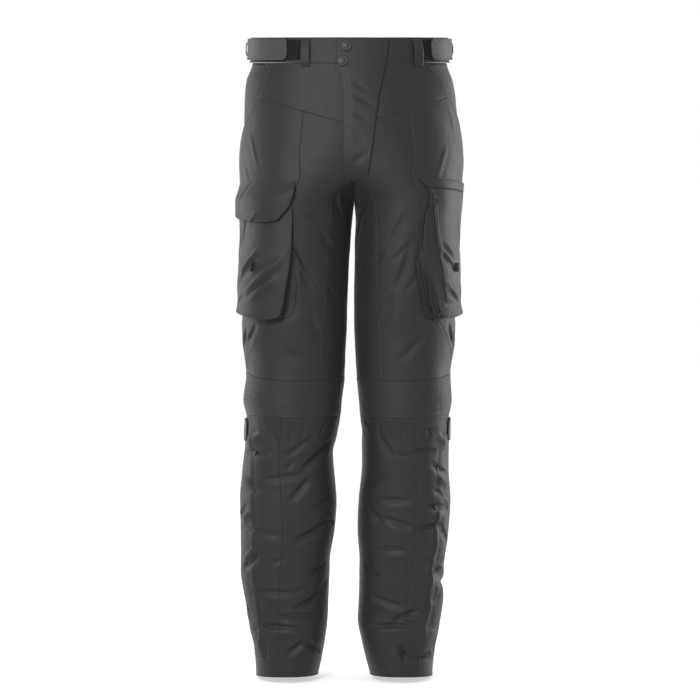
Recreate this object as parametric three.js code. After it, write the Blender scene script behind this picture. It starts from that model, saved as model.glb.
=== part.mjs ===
import * as THREE from 'three';

// Motorcycle trousers, standing as worn with nobody in them. Millimetres, +Z up.
// The wearer faces -Y, so the wearer's left is +X. The origin is the middle of the waist ring.
// Each leg is one tube from waist to hem. A place on it is an angle and a level.
// Angle 0 is the outer side, -90 the front, 90 the back and 180 the inseam.
// A level is a height that dips where the cross seams dip.

const WALL = 2;
const HEM_WALL = 3;
const SEAM = 0.3;
const LIE = 0.8;
const SQUARENESS = 2.2;

// A seam's half gap is turned into an angle by the half width, and widened where the oval is flatter
const INSET_EASE = 1.4;

// Small steps along the cloth that give its outward direction
const NEAR = { turn: 0.5, down: 1 };

const BAND_TOP = 20;
const BAND_FOOT = -21;
const YOKE_FOOT = -106;
const YOKE_DIP_END = -205;
const KNEE_DIP_START = -300;
const FORK = -253;
const INNER_SEAM_TOP = -208;
const KNEE_TOP = -540;
const KNEE_FOOT = -602;
const HEM = -1022;
const HEM_DEPTH = 28;

// How far down the lower leg the dip of the knee's foot seam has faded out
const SHIN_DIP_SHARE = 0.3;

// Rows of faces in each zone
const BAND_ROWS = 2;
const YOKE_ROWS = 5;
const SHIN_ROWS = 26;
const KNEE_PLAIN_ROWS = 4;
const THIGH_ZONES = table(['top', 'foot', 'rows'], [
  [YOKE_FOOT, -188, 4],
  [INNER_SEAM_TOP, -290, 7],
  [-312, KNEE_TOP + SEAM, 9],
]);

// Ribs across each knee
const RIBS = 18;
const RIB_HEIGHT = 1.3;

// Where the ribs end at the outer side, by angle
const KNEE_SEAM = 14;

// The waist leans forward: the back stands higher than the front
const LEAN = 0.14;
const LEAN_TOP = -20;
const LEAN_FOOT = -170;

const COLOURS = {
  cloth: 0x3c3c3f,
  trim: 0x2b2b2d,
  ribs: 0x323235,
  tab: 0x77777a,
  piping: 0xc4c4c6,
  button: 0x39393b,
};

// How far each outer side stands from x = 0, and where front and back lie in y
const SECTIONS = table(['z', 'right', 'left', 'front', 'back'], [
  [21, 163, 161, -107, 108],
  [-20, 164, 163, -110, 111],
  [-50, 174, 173, -113, 118],
  [-82, 177, 178, -117, 127],
  [-131, 178, 182, -121, 140],
  [-181, 182, 187, -122, 147],
  [-230, 181, 184, -120, 143],
  [-279, 178, 178, -116, 130],
  [-345, 175, 172, -110, 121],
  [-411, 173, 168, -103, 111],
  [-450, 178, 173, -100, 105],
  [-476, 177, 172, -97, 101],
  [-534, 170, 164, -93, 92],
  [-575, 175, 166, -92, 88],
  [-602, 170, 162, -87, 88],
  [-645, 171, 161, -80, 91],
  [-690, 177, 162, -77, 95],
  [-740, 181, 165, -75, 96],
  [-800, 180, 161, -72, 94],
  [-850, 180, 154, -68, 91],
  [-900, 173, 153, -64, 88],
  [-950, 165, 146, -61, 85],
  [-980, 158, 140, -59, 83],
  [-1022, 155, 136, -58, 82],
]);

// How far each inseam stands from x = 0
const INSEAMS = table(['z', 'right', 'left'], [
  [-253, -6.8, 7.2],
  [-279, -4, 9],
  [-312, -1, 8],
  [-345, 1, 7.4],
  [-411, 4, 6.5],
  [-476, 6, 7.4],
  [-534, 9, 11],
  [-575, 14, 15.6],
  [-602, 16, 17],
  [-630, 21, 20],
  [-660, 28, 20],
  [-690, 26, 19],
  [-740, 22, 14],
  [-790, 26, 12.5],
  [-838, 33, 15],
  [-888, 35, 14.5],
  [-937, 37, 13],
  [-970, 41, 19],
  [-1000, 47, 26],
  [-1022, 52, 32],
]);

// The rise seam: where it runs in x, and how far the torso has parted into two legs
const RISE = table(['z', 'x', 'parted'], [
  [21, -5, 0],
  [-20, -4, 0],
  [-80, -2, 0.04],
  [-130, 0, 0.1],
  [-180, 3, 0.24],
  [-213, 5, 0.45],
  [-233, 6, 0.74],
  [-244, 6.6, 0.9],
  [-253, 7, 1],
]);

// First guess for the angle of the rise seam at the front, and how often it is worked out again
const RISE_GUESS = -100;
const RISE_ROUNDS = 6;

// Seams that run down a leg, by angle
const FRONT_SEAM = table(['level', 'right', 'left'], [
  [-106, -62, -52],
  [-175, -69, -62],
  [-200, -74.5, -68.5],
  [-235, -85, -79.5],
  [-326, -88, -80],
  [-400, -82, -71],
  [-442, -70, -59],
  [-477, -56, -42],
  [-510, -30, -22],
  [-540, -8, -6],
]);
const INNER_SEAM = table(['level', 'right', 'left'], [
  [-208, -112, -112],
  [-226, -116, -116],
  [-255, -118, -118],
  [-310, -117, -116],
  [-400, -117, -115],
  [-540, -116, -112],
]);
const SIDE_SEAM = table(['level', 'right', 'left'], [
  [-21, 22, 22],
  [-165, 26, 26],
  [-350, 34, 34],
  [-540, 40, 40],
]);
const SHIN_SEAM = table(['level', 'right', 'left'], [
  [-602, -78, -76],
  [-734, -84, -77],
  [-831, -87, -78],
  [-896, -82, -83],
  [-1022, -75, -86],
]);
const CALF_SEAM = table(['level', 'right', 'left'], [
  [-602, -34, -30],
  [-700, -46, -48],
  [-830, -50, -51],
  [-960, -52, -56],
  [-1022, -54, -62],
]);
const POCKET_EDGE = table(['level', 'right', 'left'], [
  [-21, -27, -30],
  [-43, -31, -27],
  [-63, -31, -23],
  [-106, -29, -21],
]);

// How much higher than its level each cross seam runs, by angle
const YOKE_DIP = {
  right: table(['angle', 'dip'], [
    [-120, -34],
    [-91, -22],
    [-62, -1],
    [-29, 26],
    [-19, -9],
    [-4, -42],
    [25, -59],
    [90, 0],
  ]),
  left: table(['angle', 'dip'], [
    [-120, -34],
    [-91, -26],
    [-52, 3],
    [-21, 29],
    [-11, -14],
    [-2, -42],
    [25, -59],
    [90, 0],
  ]),
};
const KNEE_TOP_DIP = table(['angle', 'right', 'left'], [
  [-180, 3, 3],
  [-90, -3, -3],
  [-60, 0, 0],
  [-8, 11, 9],
  [60, 3, 3],
  [180, 3, 3],
]);
const KNEE_FOOT_DIP = table(['angle', 'right', 'left'], [
  [-180, 5, 5],
  [-90, 0, 0],
  [-25, 3, 5],
  [180, 5, 5],
]);

// Creases fade out within this angle of the rise seam and the inseam
const FOLD_FADE = 24;

// How high a crease's shoulders stand, and how many half widths it reaches to each side
const SHOULDER = 0.9;
const FOLD_SPREAD = 3;

// The hem hangs lower at the sides and back
const HEM_DIP = table(['angle', 'dip'], [
  [-180, -4],
  [-90, 0],
  [0, -6],
  [90, -9],
  [180, -4],
]);

// Soft creases. Size and place are along the cloth: half the length, half the width and the depth.
// Slant is the rise towards the outer side in degrees. A negative depth stands out.
const FOLDS = table(['leg', 'level', 'angle', 'reach', 'width', 'depth', 'slant'], [
  ['right', -646, -102, 30, 10, 4, -36],
  ['right', -666, -123, 42, 11, 5, -37],
  ['right', -717, -105, 32, 11, 5, -46],
  ['right', -785, -56, 40, 10, 3.5, 8],
  ['right', -785, -119, 38, 11, 5, -28],
  ['right', -834, -45, 26, 10, 4.5, -32],
  ['right', -885, -78, 46, 10, 4, 3],
  ['right', -898, -119, 34, 10, 5, -26],
  ['right', -921, -108, 40, 10, 5, -5],
  ['right', -942, -77, 48, 10, 5, 4],
  ['right', -973, -100, 24, 10, 4, -37],
  ['right', -970, -126, 28, 10, 4, 28],
  ['right', -638, -43, 32, 14, -4, -18],
  ['right', -660, -52, 30, 11, 4, 0],
  ['right', -700, 90, 110, 16, 6, 8],
  ['right', -790, 100, 90, 14, 6, -10],
  ['right', -880, 80, 110, 15, 6, 6],
  ['right', -950, 100, 90, 13, 5, -6],
  ['right', -640, 95, 70, 14, 5, 4],
  ['left', -656, -70, 30, 11, 4.5, 2],
  ['left', -690, -40, 32, 12, 5, -30],
  ['left', -734, -102, 32, 10, 3.5, 0],
  ['left', -748, -48, 30, 11, 5, -9],
  ['left', -755, -126, 26, 11, 4, -34],
  ['left', -774, -82, 46, 10, 4.5, -4],
  ['left', -812, -109, 34, 10, 4, -2],
  ['left', -897, -110, 34, 10, 4, -20],
  ['left', -919, -84, 28, 10, 5, 21],
  ['left', -938, -102, 44, 10, 5, 0],
  ['left', -981, -86, 20, 10, 4, -60],
  ['left', -988, -60, 28, 10, 5, 22],
  ['left', -860, -20, 60, 14, 4, -20],
  ['left', -690, 95, 110, 16, 6, -8],
  ['left', -780, 85, 90, 14, 6, 10],
  ['left', -870, 100, 110, 15, 6, -6],
  ['left', -955, 85, 90, 13, 5, 6],
  ['left', -640, 90, 70, 14, 5, -4],
  ['right', -366, -97, 42, 11, 4, 63],
  ['right', -265, -128, 34, 11, 3.5, 50],
  ['left', -290, -116, 40, 12, 3, 50],
  ['left', -483, -83, 46, 12, 4, 50],
  ['left', -350, -100, 44, 12, 3, 66],
  ['right', -560, 95, 90, 10, 5, 0],
  ['left', -565, 95, 90, 10, 5, 0],
  ['right', -515, 100, 80, 12, 5, 5],
  ['left', -512, 95, 80, 12, 5, -5],
  ['right', -290, 110, 80, 17, 4.5, 28],
  ['left', -290, 110, 80, 17, 4.5, 28],
  ['right', -320, 140, 60, 15, 4, 34],
  ['left', -325, 140, 60, 15, 4, 34],
  ['right', -160, 4, 60, 13, 2.5, 76],
  ['left', -175, -8, 60, 13, 2.5, 80],
]);

// Cargo pockets: how far the pouch stands off. The shares are of its width and height.
const POUCH_TOP = -236;
const POUCH_FOOT = -445;
const POUCH_DEPTH = 14;
const POUCH_SEAT = 1.9;
const POUCH_WALL = 1.6;
const POUCH_BACK = 24;
const POUCH_OPENS = { from: 0.12, to: 0.85 };
const POUCH_EASE = { from: 0.3, by: 0.85 };
const POUCH_TURN = { front: 0.04, foot: 0.07 };
const POUCH_COLUMNS = [0, 0.05, 0.12, 0.22, 0.34, 0.46, 0.58, 0.7, 0.82, 0.92, 1];
const POUCH_ROWS = [0, 0.1, 0.2, 0.3, 0.4, 0.5, 0.6, 0.7, 0.8, 0.87, 0.92, 0.96, 1];

// The pouch's foot rises towards the back, and more in the rounded corner at its front
const POUCH_FOOT_RISE = 12;
const POUCH_CORNER = { share: 0.12, rise: 7 };

// Flap of the right pocket: its front edge runs along the front seam, down to the foot's first row
const FLAP_TOP = -224;
const FLAP_FRONT = { top: -80, foot: -88 };
const FLAP_BACK = 26;
const FLAP_SEAT = 1.9;
const FLAP_STAND = 3;
const FLAP_FLARE = 2.5;
const FLAP_CROWD = 1.35;
const FLAP_FOOT = table(['angle', 'right'], [
  [-88, -250],
  [-86, -264],
  [-82, -276],
  [-77, -287],
  [-69, -289],
  [-40, -283],
  [-8, -274],
  [24, -270],
]);
const POUCH_FRONT = table(['level', 'right', 'left'], [
  [-225, -80, -72],
  [-250, -87, -74],
  [-290, -88, -78],
  [-345, -87, -77],
  [-400, -83, -68],
  [-430, -81, -64],
  [-445, -79, -61],
]);

// How far the hip pocket's facing lies under the edge of the thigh panel, how far it reaches in
// behind the pocket's edge, and how much lower than the panel it ends at its front and back
const POCKET_SINK = 2.2;
const FACING_TUCK = 5;
const FACING_DROP = { front: 2, back: 22 };

// Left cargo pocket
const POUCH_BAND_HEIGHT = 16;
const POUCH_BAND_GAP = 1;
const ZIP_TOP = -258;
const ZIP_FOOT = -420;
const ZIP_WIDTH = 7;
const ZIP_WALL = 1.2;
const ZIP_STAND = 0.9;
const ZIP_LINE = table(['level', 'left'], [
  [-258, -72],
  [-333, -65],
  [-381, -60],
  [-420, -56],
]);

// Tags on the cargo pockets. Each seat allows for how flat the pocket's face lies there.
const TAG = {
  width: 5,
  height: 14,
  thickness: 2.4,
  level: -352,
  right: { angle: -57, seat: -0.6 },
  left: { angle: -44, seat: 0 },
};

// Fly flap: its free edge on the wearer's right and its seam on the left, in x
const FLY_TOP = 19;
const FLY_FOOT = -226;
const FLY_EDGES = table(['z', 'free', 'seam'], [
  [21, -20, 62],
  [-27, -22, 56],
  [-42, -15, 53],
  [-80, -11, 46],
  [-172, -11, 36],
  [-226, -8, 28],
]);
const FLY_ROWS = 16;
const FLY_COLUMNS = 6;
const FLY_BRIDGE = 1.5;
const FLY_FOOT_RISE = 6;

const SNAP_RADIUS = 9;
const SNAP_HEIGHT = 3.4;
const SNAP_SIDES = 20;
const SNAPS = table(['name', 'x', 'z'], [
  ['snap_upper', -6, 6],
  ['snap_lower', -12, -18],
]);

// Belt loops: a width along the band and how far they bow out
const LOOP_WIDTH = 14;
const LOOP_WALL = 1.6;
const LOOP_SEAT = 0.5;
const LOOP_BOW = 4.2;
const LOOP_TOP = 17;
const LOOP_FOOT = -27;
const LOOPS = table(['name', 'leg', 'angle'], [
  ['belt_loop_front_right', 'right', -57],
  ['belt_loop_front_left', 'left', -37],
  ['belt_loop_back_right', 'right', 52],
  ['belt_loop_back_left', 'left', 52],
]);

// Waist adjusters
const TAB_TOP = 18;
const TAB_FOOT = -17;
const TAB_CORNER = 8;
const TAB_STAND = 3.4;
const HOOK_TOP = 16;
const HOOK_FOOT = -16;
const HOOK_WALL = 1.4;
const HOOK_SHORTER = 6;
const ADJUSTERS = table(['leg', 'hookFront', 'tabFront', 'tabBack'], [
  ['right', -53, -44, 0],
  ['left', -33, -28, 14],
]);
const PULL = { width: 9, top: 12, foot: -10, stand: 5.7, bow: 1.6, thickness: 1.4, right: -4, left: 4 };
const PIPING_HEIGHT = 2.4;
const PIPING_STAND = 1.2;
const PIPING_FRONT = { right: -50, left: -33 };
const PIPING_BACK = 24;

// Tab below each knee and the flap down each lower leg
const KNEE_TAB = { top: -608, foot: -644, front: -24, back: 22, stand: 1.3 };
const CALF_COLUMNS = 15;
const STORM_COLUMNS = 3;
const STORM_PORTION = 0.14;
const STORM_START = 2;
const STORM_STAND = 1.5;
const STORM_WALL = 1.4;

function table(columns, rows) {
  return rows.map((row) => Object.fromEntries(columns.map((name, i) => [name, row[i]])));
}

function tangent(at, value, i) {
  const last = at.length - 1;
  if (i === 0) return (value[1] - value[0]) / (at[1] - at[0]);
  if (i === last) return (value[last] - value[last - 1]) / (at[last] - at[last - 1]);
  const before = (value[i] - value[i - 1]) / (at[i] - at[i - 1]);
  const after = (value[i + 1] - value[i]) / (at[i + 1] - at[i]);
  if (before * after <= 0) return 0;
  return (2 * before * after) / (before + after);
}

// A smooth curve through one column of a table, which never swings past its rows
function follow(rows, column, along) {
  const sorted = [...rows].sort((a, b) => a[along] - b[along]);
  const at = sorted.map((row) => row[along]);
  const value = sorted.map((row) => row[column]);
  const slope = at.map((_, i) => tangent(at, value, i));
  return (wanted) => {
    const where = Math.min(Math.max(wanted, at[0]), at[at.length - 1]);
    let i = 0;
    while (i < at.length - 2 && where > at[i + 1]) i += 1;
    const step = at[i + 1] - at[i];
    const t = (where - at[i]) / step;
    const s = 1 - t;
    const low = (1 + 2 * t) * s * s * value[i] + t * s * s * step * slope[i];
    const high = t * t * (3 - 2 * t) * value[i + 1] - t * t * s * step * slope[i + 1];
    return low + high;
  };
}

// Straight lines through one column of a table
function straight(rows, column, along) {
  const last = rows.length - 1;
  return (wanted) => {
    if (wanted <= rows[0][along]) return rows[0][column];
    if (wanted >= rows[last][along]) return rows[last][column];
    const i = rows.findIndex((row, n) => n < last && wanted <= rows[n + 1][along]);
    const t = (wanted - rows[i][along]) / (rows[i + 1][along] - rows[i][along]);
    return mix(rows[i][column], rows[i + 1][column], t);
  };
}

function mix(a, b, t) {
  return a + (b - a) * t;
}

function smooth(t) {
  const c = Math.min(Math.max(t, 0), 1);
  return c * c * (3 - 2 * c);
}

function degrees(radians) {
  return (radians * 180) / Math.PI;
}

function steps(count) {
  return Array.from({ length: count + 1 }, (_, i) => i / count);
}

const front = follow(SECTIONS, 'front', 'z');
const back = follow(SECTIONS, 'back', 'z');
const hemDip = follow(HEM_DIP, 'dip', 'angle');
const riseX = follow(RISE, 'x', 'z');
const parted = follow(RISE, 'parted', 'z');

function makeLeg(name, side) {
  return {
    name,
    side,
    reach: follow(SECTIONS, name, 'z'),
    inseam: follow(INSEAMS, name, 'z'),
    frontSeam: follow(FRONT_SEAM, name, 'level'),
    innerSeam: follow(INNER_SEAM, name, 'level'),
    sideSeam: follow(SIDE_SEAM, name, 'level'),
    shinSeam: follow(SHIN_SEAM, name, 'level'),
    calfSeam: follow(CALF_SEAM, name, 'level'),
    pocketEdge: follow(POCKET_EDGE, name, 'level'),
    pouchFront: follow(POUCH_FRONT, name, 'level'),
    yokeDip: straight(YOKE_DIP[name], 'dip', 'angle'),
    kneeTopDip: follow(KNEE_TOP_DIP, name, 'angle'),
    kneeFootDip: follow(KNEE_FOOT_DIP, name, 'angle'),
    folds: FOLDS.filter((fold) => fold.leg === name),
  };
}

const LEGS = { right: makeLeg('right', -1), left: makeLeg('left', 1) };

// The oval that a leg follows at one height. Above the fork it is cut off at the rise seam.
function section(leg, z) {
  const reach = leg.reach(z);
  const edge = leg.side * riseX(z) + SEAM / 2;
  const open = (1 - parted(z)) / (1 + parted(z));
  const inner = z > FORK ? edge - (reach - edge) * open : leg.inseam(z);
  return {
    middle: (reach + inner) / 2,
    half: (reach - inner) / 2,
    y: (front(z) + back(z)) / 2,
    depth: (back(z) - front(z)) / 2,
  };
}

// The angle at which the oval meets the rise seam, or 180 at the inseam
function centreAngle(leg, z) {
  const cut = parted(z);
  if (z <= FORK || cut >= 1) return 180;
  const { half, depth } = section(leg, z);
  const y = depth * (1 - cut ** SQUARENESS) ** (1 / SQUARENESS);
  return degrees(Math.atan2(y, -cut * half));
}

function radiusAt(oval, angle) {
  const a = Math.abs(Math.cos((angle * Math.PI) / 180) / oval.half);
  const b = Math.abs(Math.sin((angle * Math.PI) / 180) / oval.depth);
  return (a ** SQUARENESS + b ** SQUARENESS) ** (-1 / SQUARENESS);
}

function lean(z) {
  return LEAN * smooth((z - LEAN_FOOT) / (LEAN_TOP - LEAN_FOOT));
}

function onForm(leg, angle, z) {
  const oval = section(leg, z);
  const radius = radiusAt(oval, angle);
  const turn = (angle * Math.PI) / 180;
  const x = leg.side * (oval.middle + radius * Math.cos(turn));
  const y = oval.y + radius * Math.sin(turn);
  return new THREE.Vector3(x, y, z + lean(z) * y);
}

// Height of a level at an angle: the cross seams' dips, blended between them
function heightOf(leg, angle, level) {
  const stops = [
    [BAND_FOOT, 0],
    [YOKE_FOOT, leg.yokeDip(angle)],
    [YOKE_DIP_END, 0],
    [KNEE_DIP_START, 0],
    [KNEE_TOP, leg.kneeTopDip(angle)],
    [KNEE_FOOT, leg.kneeFootDip(angle)],
    [mix(KNEE_FOOT, HEM, SHIN_DIP_SHARE), 0],
    [HEM, hemDip(angle)],
  ];
  if (level >= stops[0][0]) return level;
  const i = stops.findIndex((stop, n) => level >= stops[n + 1][0]);
  const t = (level - stops[i][0]) / (stops[i + 1][0] - stops[i][0]);
  return level + mix(stops[i][1], stops[i + 1][1], t);
}

// A crease is a soft trough with low shoulders, fading out at its ends
function creaseAt(fold, across, along) {
  const reach = Math.abs(along) / fold.reach;
  const width = across / fold.width;
  if (reach >= 1 || Math.abs(width) > FOLD_SPREAD) return 0;
  const fade = (1 - reach * reach) ** 2;
  return -fold.depth * fade * (1 - SHOULDER * width * width) * Math.exp(-width * width);
}

function foldsAt(leg, angle, level) {
  const oval = section(leg, level);
  const radius = radiusAt(oval, angle);
  let sum = 0;
  for (const fold of leg.folds) {
    const sideways = ((angle - fold.angle) * Math.PI * radius) / 180;
    const upward = level - fold.level;
    const slant = (fold.slant * Math.PI) / 180;
    const along = sideways * Math.cos(slant) + upward * Math.sin(slant);
    const across = upward * Math.cos(slant) - sideways * Math.sin(slant);
    sum += creaseAt(fold, across, along);
  }
  return sum * smooth((centreAngle(leg, level) - Math.abs(angle)) / FOLD_FADE);
}

// A point of the cloth, stood off by the given distance
function place(leg, angle, level, out = 0) {
  const z = heightOf(leg, angle, level);
  const here = onForm(leg, angle, z);
  const beside = onForm(leg, angle + NEAR.turn, z).sub(here);
  const below = onForm(leg, angle, z - NEAR.down).sub(here);
  const normal = below.cross(beside).multiplyScalar(leg.side).normalize();
  return here.addScaledVector(normal, foldsAt(leg, angle, level) + out);
}

// Joins two edges that may have different numbers of points
function lace(a, b, put) {
  let i = 0;
  let j = 0;
  while (i < a.length - 1 || j < b.length - 1) {
    const ahead = (i + 1) / (a.length - 1) <= (j + 1) / (b.length - 1);
    if (j === b.length - 1 || (i < a.length - 1 && ahead)) {
      put(a[i], a[i + 1], b[j]);
      i += 1;
    } else {
      put(a[i], b[j + 1], b[j]);
      j += 1;
    }
  }
}

function sheetEdges(grid) {
  const last = grid.length - 1;
  const end = grid[0].length - 1;
  return [
    grid[0],
    grid.map((row) => row[end]),
    [...grid[last]].reverse(),
    grid.map((row) => row[0]).reverse(),
  ];
}

function closedGeometry(points, triangles) {
  let volume = 0;
  for (const [a, b, c] of triangles) {
    volume += points[a].dot(points[b].clone().cross(points[c]));
  }
  const facing = volume > 0 ? triangles : triangles.map(([a, b, c]) => [a, c, b]);
  const geometry = new THREE.BufferGeometry();
  const position = new Float32Array(points.flatMap((p) => [p.x, p.y, p.z]));
  geometry.setAttribute('position', new THREE.BufferAttribute(position, 3));
  geometry.setIndex(facing.flat());
  geometry.computeVertexNormals();
  return geometry;
}

// A wall of cloth between an outer and an inner grid of points with the same columns
function wall(outer, inner) {
  const points = [];
  const triangles = [];
  const number = (grid) => grid.map((row) => row.map((p) => points.push(p) - 1));
  const put = (a, b, c) => triangles.push([a, b, c]);
  const sheet = (grid, turned) => {
    for (let r = 0; r + 1 < grid.length; r += 1) {
      for (let c = 0; c + 1 < grid[r].length; c += 1) {
        const [near, far] = [grid[r][c], grid[r + 1][c + 1]];
        const [under, beside] = [grid[r + 1][c], grid[r][c + 1]];
        put(near, turned ? far : under, turned ? under : far);
        put(near, turned ? beside : far, turned ? far : beside);
      }
    }
  };
  const outside = number(outer);
  const inside = number(inner);
  sheet(outside, false);
  sheet(inside, true);
  const innerEdges = sheetEdges(inside);
  sheetEdges(outside).forEach((edge, i) => lace(edge, innerEdges[i], put));
  return closedGeometry(points, triangles);
}

function narrowed(leg, frontAngle, backAngle, z) {
  const inset = degrees(SEAM / 2 / section(leg, z).half) * INSET_EASE;
  return [frontAngle + inset, backAngle - inset];
}

// A grid over a patch of one leg: levels from top to foot, angles between two seams
function patch(leg, spec, levels, out) {
  return levels.map((level, row) => {
    const t = row / (levels.length - 1);
    const seams = [spec.front(level), spec.back(level)];
    const [from, to] = narrowed(leg, seams[0], seams[1], level);
    return steps(spec.columns).map((s) => {
      const angle = mix(from, to, spec.spread ? spec.spread(s) : s);
      const exact = spec.level ? spec.level(angle, s, t, level) : level;
      return place(leg, angle, exact, out(s, t, angle, exact));
    });
  });
}

// The calf's first columns are narrow, because the storm flap lies on them
function calfSpread(s) {
  const narrow = STORM_COLUMNS / CALF_COLUMNS;
  if (s <= narrow) return (s / narrow) * STORM_PORTION;
  return STORM_PORTION + ((s - narrow) / (1 - narrow)) * (1 - STORM_PORTION);
}

function levelsBetween(top, foot, rows) {
  return steps(rows).map((t) => mix(top - SEAM / 2, foot + SEAM / 2, t));
}

function panel(leg, spec, levels, thickness = () => WALL) {
  const outer = patch(leg, spec, levels, () => 0);
  const inner = patch(leg, spec, levels, (s, t, angle, level) => -thickness(level));
  return wall(outer, inner);
}

// A piece lying on the cloth, stood off by a distance that may change over it
function overlay(leg, spec, levels, stand, thickness = WALL) {
  const outer = patch(leg, spec, levels, (s, t, a, z) => stand(s, t, a, z) + thickness);
  const inner = patch(leg, spec, levels, (s, t, a, z) => stand(s, t, a, z));
  return wall(outer, inner);
}

const model = new THREE.Group();

function add(name, geometry, colour, roughness = 0.9) {
  const material = new THREE.MeshStandardMaterial({ color: colour, roughness, metalness: 0 });
  const mesh = new THREE.Mesh(geometry, material);
  mesh.name = name;
  model.add(mesh);
  return mesh;
}

// Levels of the thigh, shared by all its panels so that their seams match, closest round the fork
const THIGH_LEVELS = THIGH_ZONES.flatMap((zone) => levelsBetween(zone.top, zone.foot, zone.rows));
const SHIN_LEVELS = levelsBetween(KNEE_FOOT, HEM, SHIN_ROWS);

function hemThickness(level) {
  return level < HEM + HEM_DEPTH ? HEM_WALL : WALL;
}

function every(list, stride) {
  return list.filter((_, i) => i % stride === 0 || i === list.length - 1);
}

// The rise seam at the front. It dips with the level, so its angle is found in a few steps.
function centreFront(leg) {
  return (level) => {
    let angle = RISE_GUESS;
    for (let i = 0; i < RISE_ROUNDS; i += 1) angle = -centreAngle(leg, heightOf(leg, angle, level));
    return angle;
  };
}

function addWaistband() {
  const levels = levelsBetween(BAND_TOP, BAND_FOOT, BAND_ROWS);
  for (const leg of Object.values(LEGS)) {
    const spec = { front: centreFront(leg), back: () => leg.sideSeam(BAND_FOOT), columns: 12 };
    add(`waistband_front_${leg.name}`, panel(leg, spec, levels), COLOURS.cloth);
  }
  const halves = [LEGS.right, LEGS.left].map((leg) => {
    const spec = { front: () => leg.sideSeam(BAND_FOOT), back: () => centreAngle(leg, 0), columns: 8 };
    const grid = (out) => patch(leg, spec, levels, () => out);
    return { outer: grid(0), inner: grid(-WALL) };
  });
  const joined = (key) => halves[0][key].map((row, r) => {
    const other = [...halves[1][key][r]].reverse();
    const middle = row[row.length - 1].clone().lerp(other[0], 0.5);
    return [...row.slice(0, -1), middle, ...other.slice(1)];
  });
  add('waistband_back', wall(joined('outer'), joined('inner')), COLOURS.cloth);
}

function addHip(leg) {
  const yokeLevels = levelsBetween(BAND_FOOT, YOKE_FOOT, YOKE_ROWS);
  const yoke = { front: centreFront(leg), back: leg.pocketEdge, columns: 8 };
  add(`front_yoke_${leg.name}`, panel(leg, yoke, yokeLevels), COLOURS.cloth);
  const facing = {
    front: (level) => leg.pocketEdge(level) - FACING_TUCK,
    back: leg.sideSeam,
    columns: 6,
    level: (angle, s, t) => {
      const foot = YOKE_FOOT - mix(FACING_DROP.front, FACING_DROP.back, s);
      return mix(BAND_FOOT - SEAM, foot, t);
    },
  };
  const sunk = overlay(leg, facing, yokeLevels, () => -2 * WALL - POCKET_SINK);
  add(`hip_pocket_facing_${leg.name}`, sunk, COLOURS.cloth);
}

function addThigh(leg) {
  const rise = centreFront(leg);
  const frontPanel = {
    front: (level) => Math.max(rise(level), leg.innerSeam(level)),
    back: leg.frontSeam,
    columns: 6,
  };
  add(`front_thigh_${leg.name}`, panel(leg, frontPanel, THIGH_LEVELS), COLOURS.cloth);
  const innerLevels = THIGH_LEVELS.filter((z) => z <= INNER_SEAM_TOP);
  const innerPanel = { front: rise, back: leg.innerSeam, columns: 4 };
  add(`inner_thigh_${leg.name}`, panel(leg, innerPanel, innerLevels), COLOURS.cloth);
  const sidePanel = { front: leg.frontSeam, back: leg.sideSeam, columns: 8 };
  add(`side_thigh_${leg.name}`, panel(leg, sidePanel, THIGH_LEVELS), COLOURS.cloth);
  const seatLevels = [...levelsBetween(BAND_FOOT, YOKE_FOOT, YOKE_ROWS).slice(0, -1), ...THIGH_LEVELS];
  const seatPanel = { front: leg.sideSeam, back: (level) => centreAngle(leg, level), columns: 8 };
  add(`seat_${leg.name}`, panel(leg, seatPanel, seatLevels), COLOURS.cloth);
}

function addKnee(leg) {
  const ribRows = 2 * RIBS;
  const ribLevels = levelsBetween(KNEE_TOP - SEAM, KNEE_FOOT + SEAM, ribRows);
  const plainLevels = levelsBetween(KNEE_TOP - SEAM, KNEE_FOOT + SEAM, KNEE_PLAIN_ROWS);
  const spec = { front: () => -180, back: () => KNEE_SEAM, columns: 11 };
  const ribbed = (s, t) => (Math.round(t * ribRows) % 2 === 1 ? RIB_HEIGHT : 0);
  const outer = patch(leg, spec, ribLevels, ribbed);
  const inner = patch(leg, spec, plainLevels, () => -WALL);
  add(`knee_ribs_${leg.name}`, wall(outer, inner), COLOURS.ribs);
  const behind = { front: () => KNEE_SEAM, back: () => 180, columns: 9 };
  add(`back_knee_${leg.name}`, panel(leg, behind, plainLevels), COLOURS.cloth);
}

function addLowerLeg(leg) {
  const inner = { front: () => -180, back: leg.shinSeam, columns: 6 };
  add(`inner_shin_${leg.name}`, panel(leg, inner, SHIN_LEVELS, hemThickness), COLOURS.cloth);
  const outer = { front: leg.shinSeam, back: leg.calfSeam, columns: 3 };
  add(`outer_shin_${leg.name}`, panel(leg, outer, SHIN_LEVELS, hemThickness), COLOURS.cloth);
  const calf = { front: leg.calfSeam, back: () => 180, columns: CALF_COLUMNS, spread: calfSpread };
  const calfLevels = every(SHIN_LEVELS, 2);
  const grid = (out) => patch(leg, calf, calfLevels, out);
  const inside = grid((s, t, angle, level) => -hemThickness(level));
  add(`calf_${leg.name}`, wall(grid(() => 0), inside), COLOURS.cloth);
  const cut = (points) => points.slice(STORM_START, -1).map((row) => row.slice(0, STORM_COLUMNS + 1));
  const stand = (s) => LIE + STORM_STAND * (1 - s);
  const storm = wall(cut(grid((s) => stand(s) + STORM_WALL)), cut(grid(stand)));
  add(`storm_flap_${leg.name}`, storm, COLOURS.cloth);
}

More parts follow.
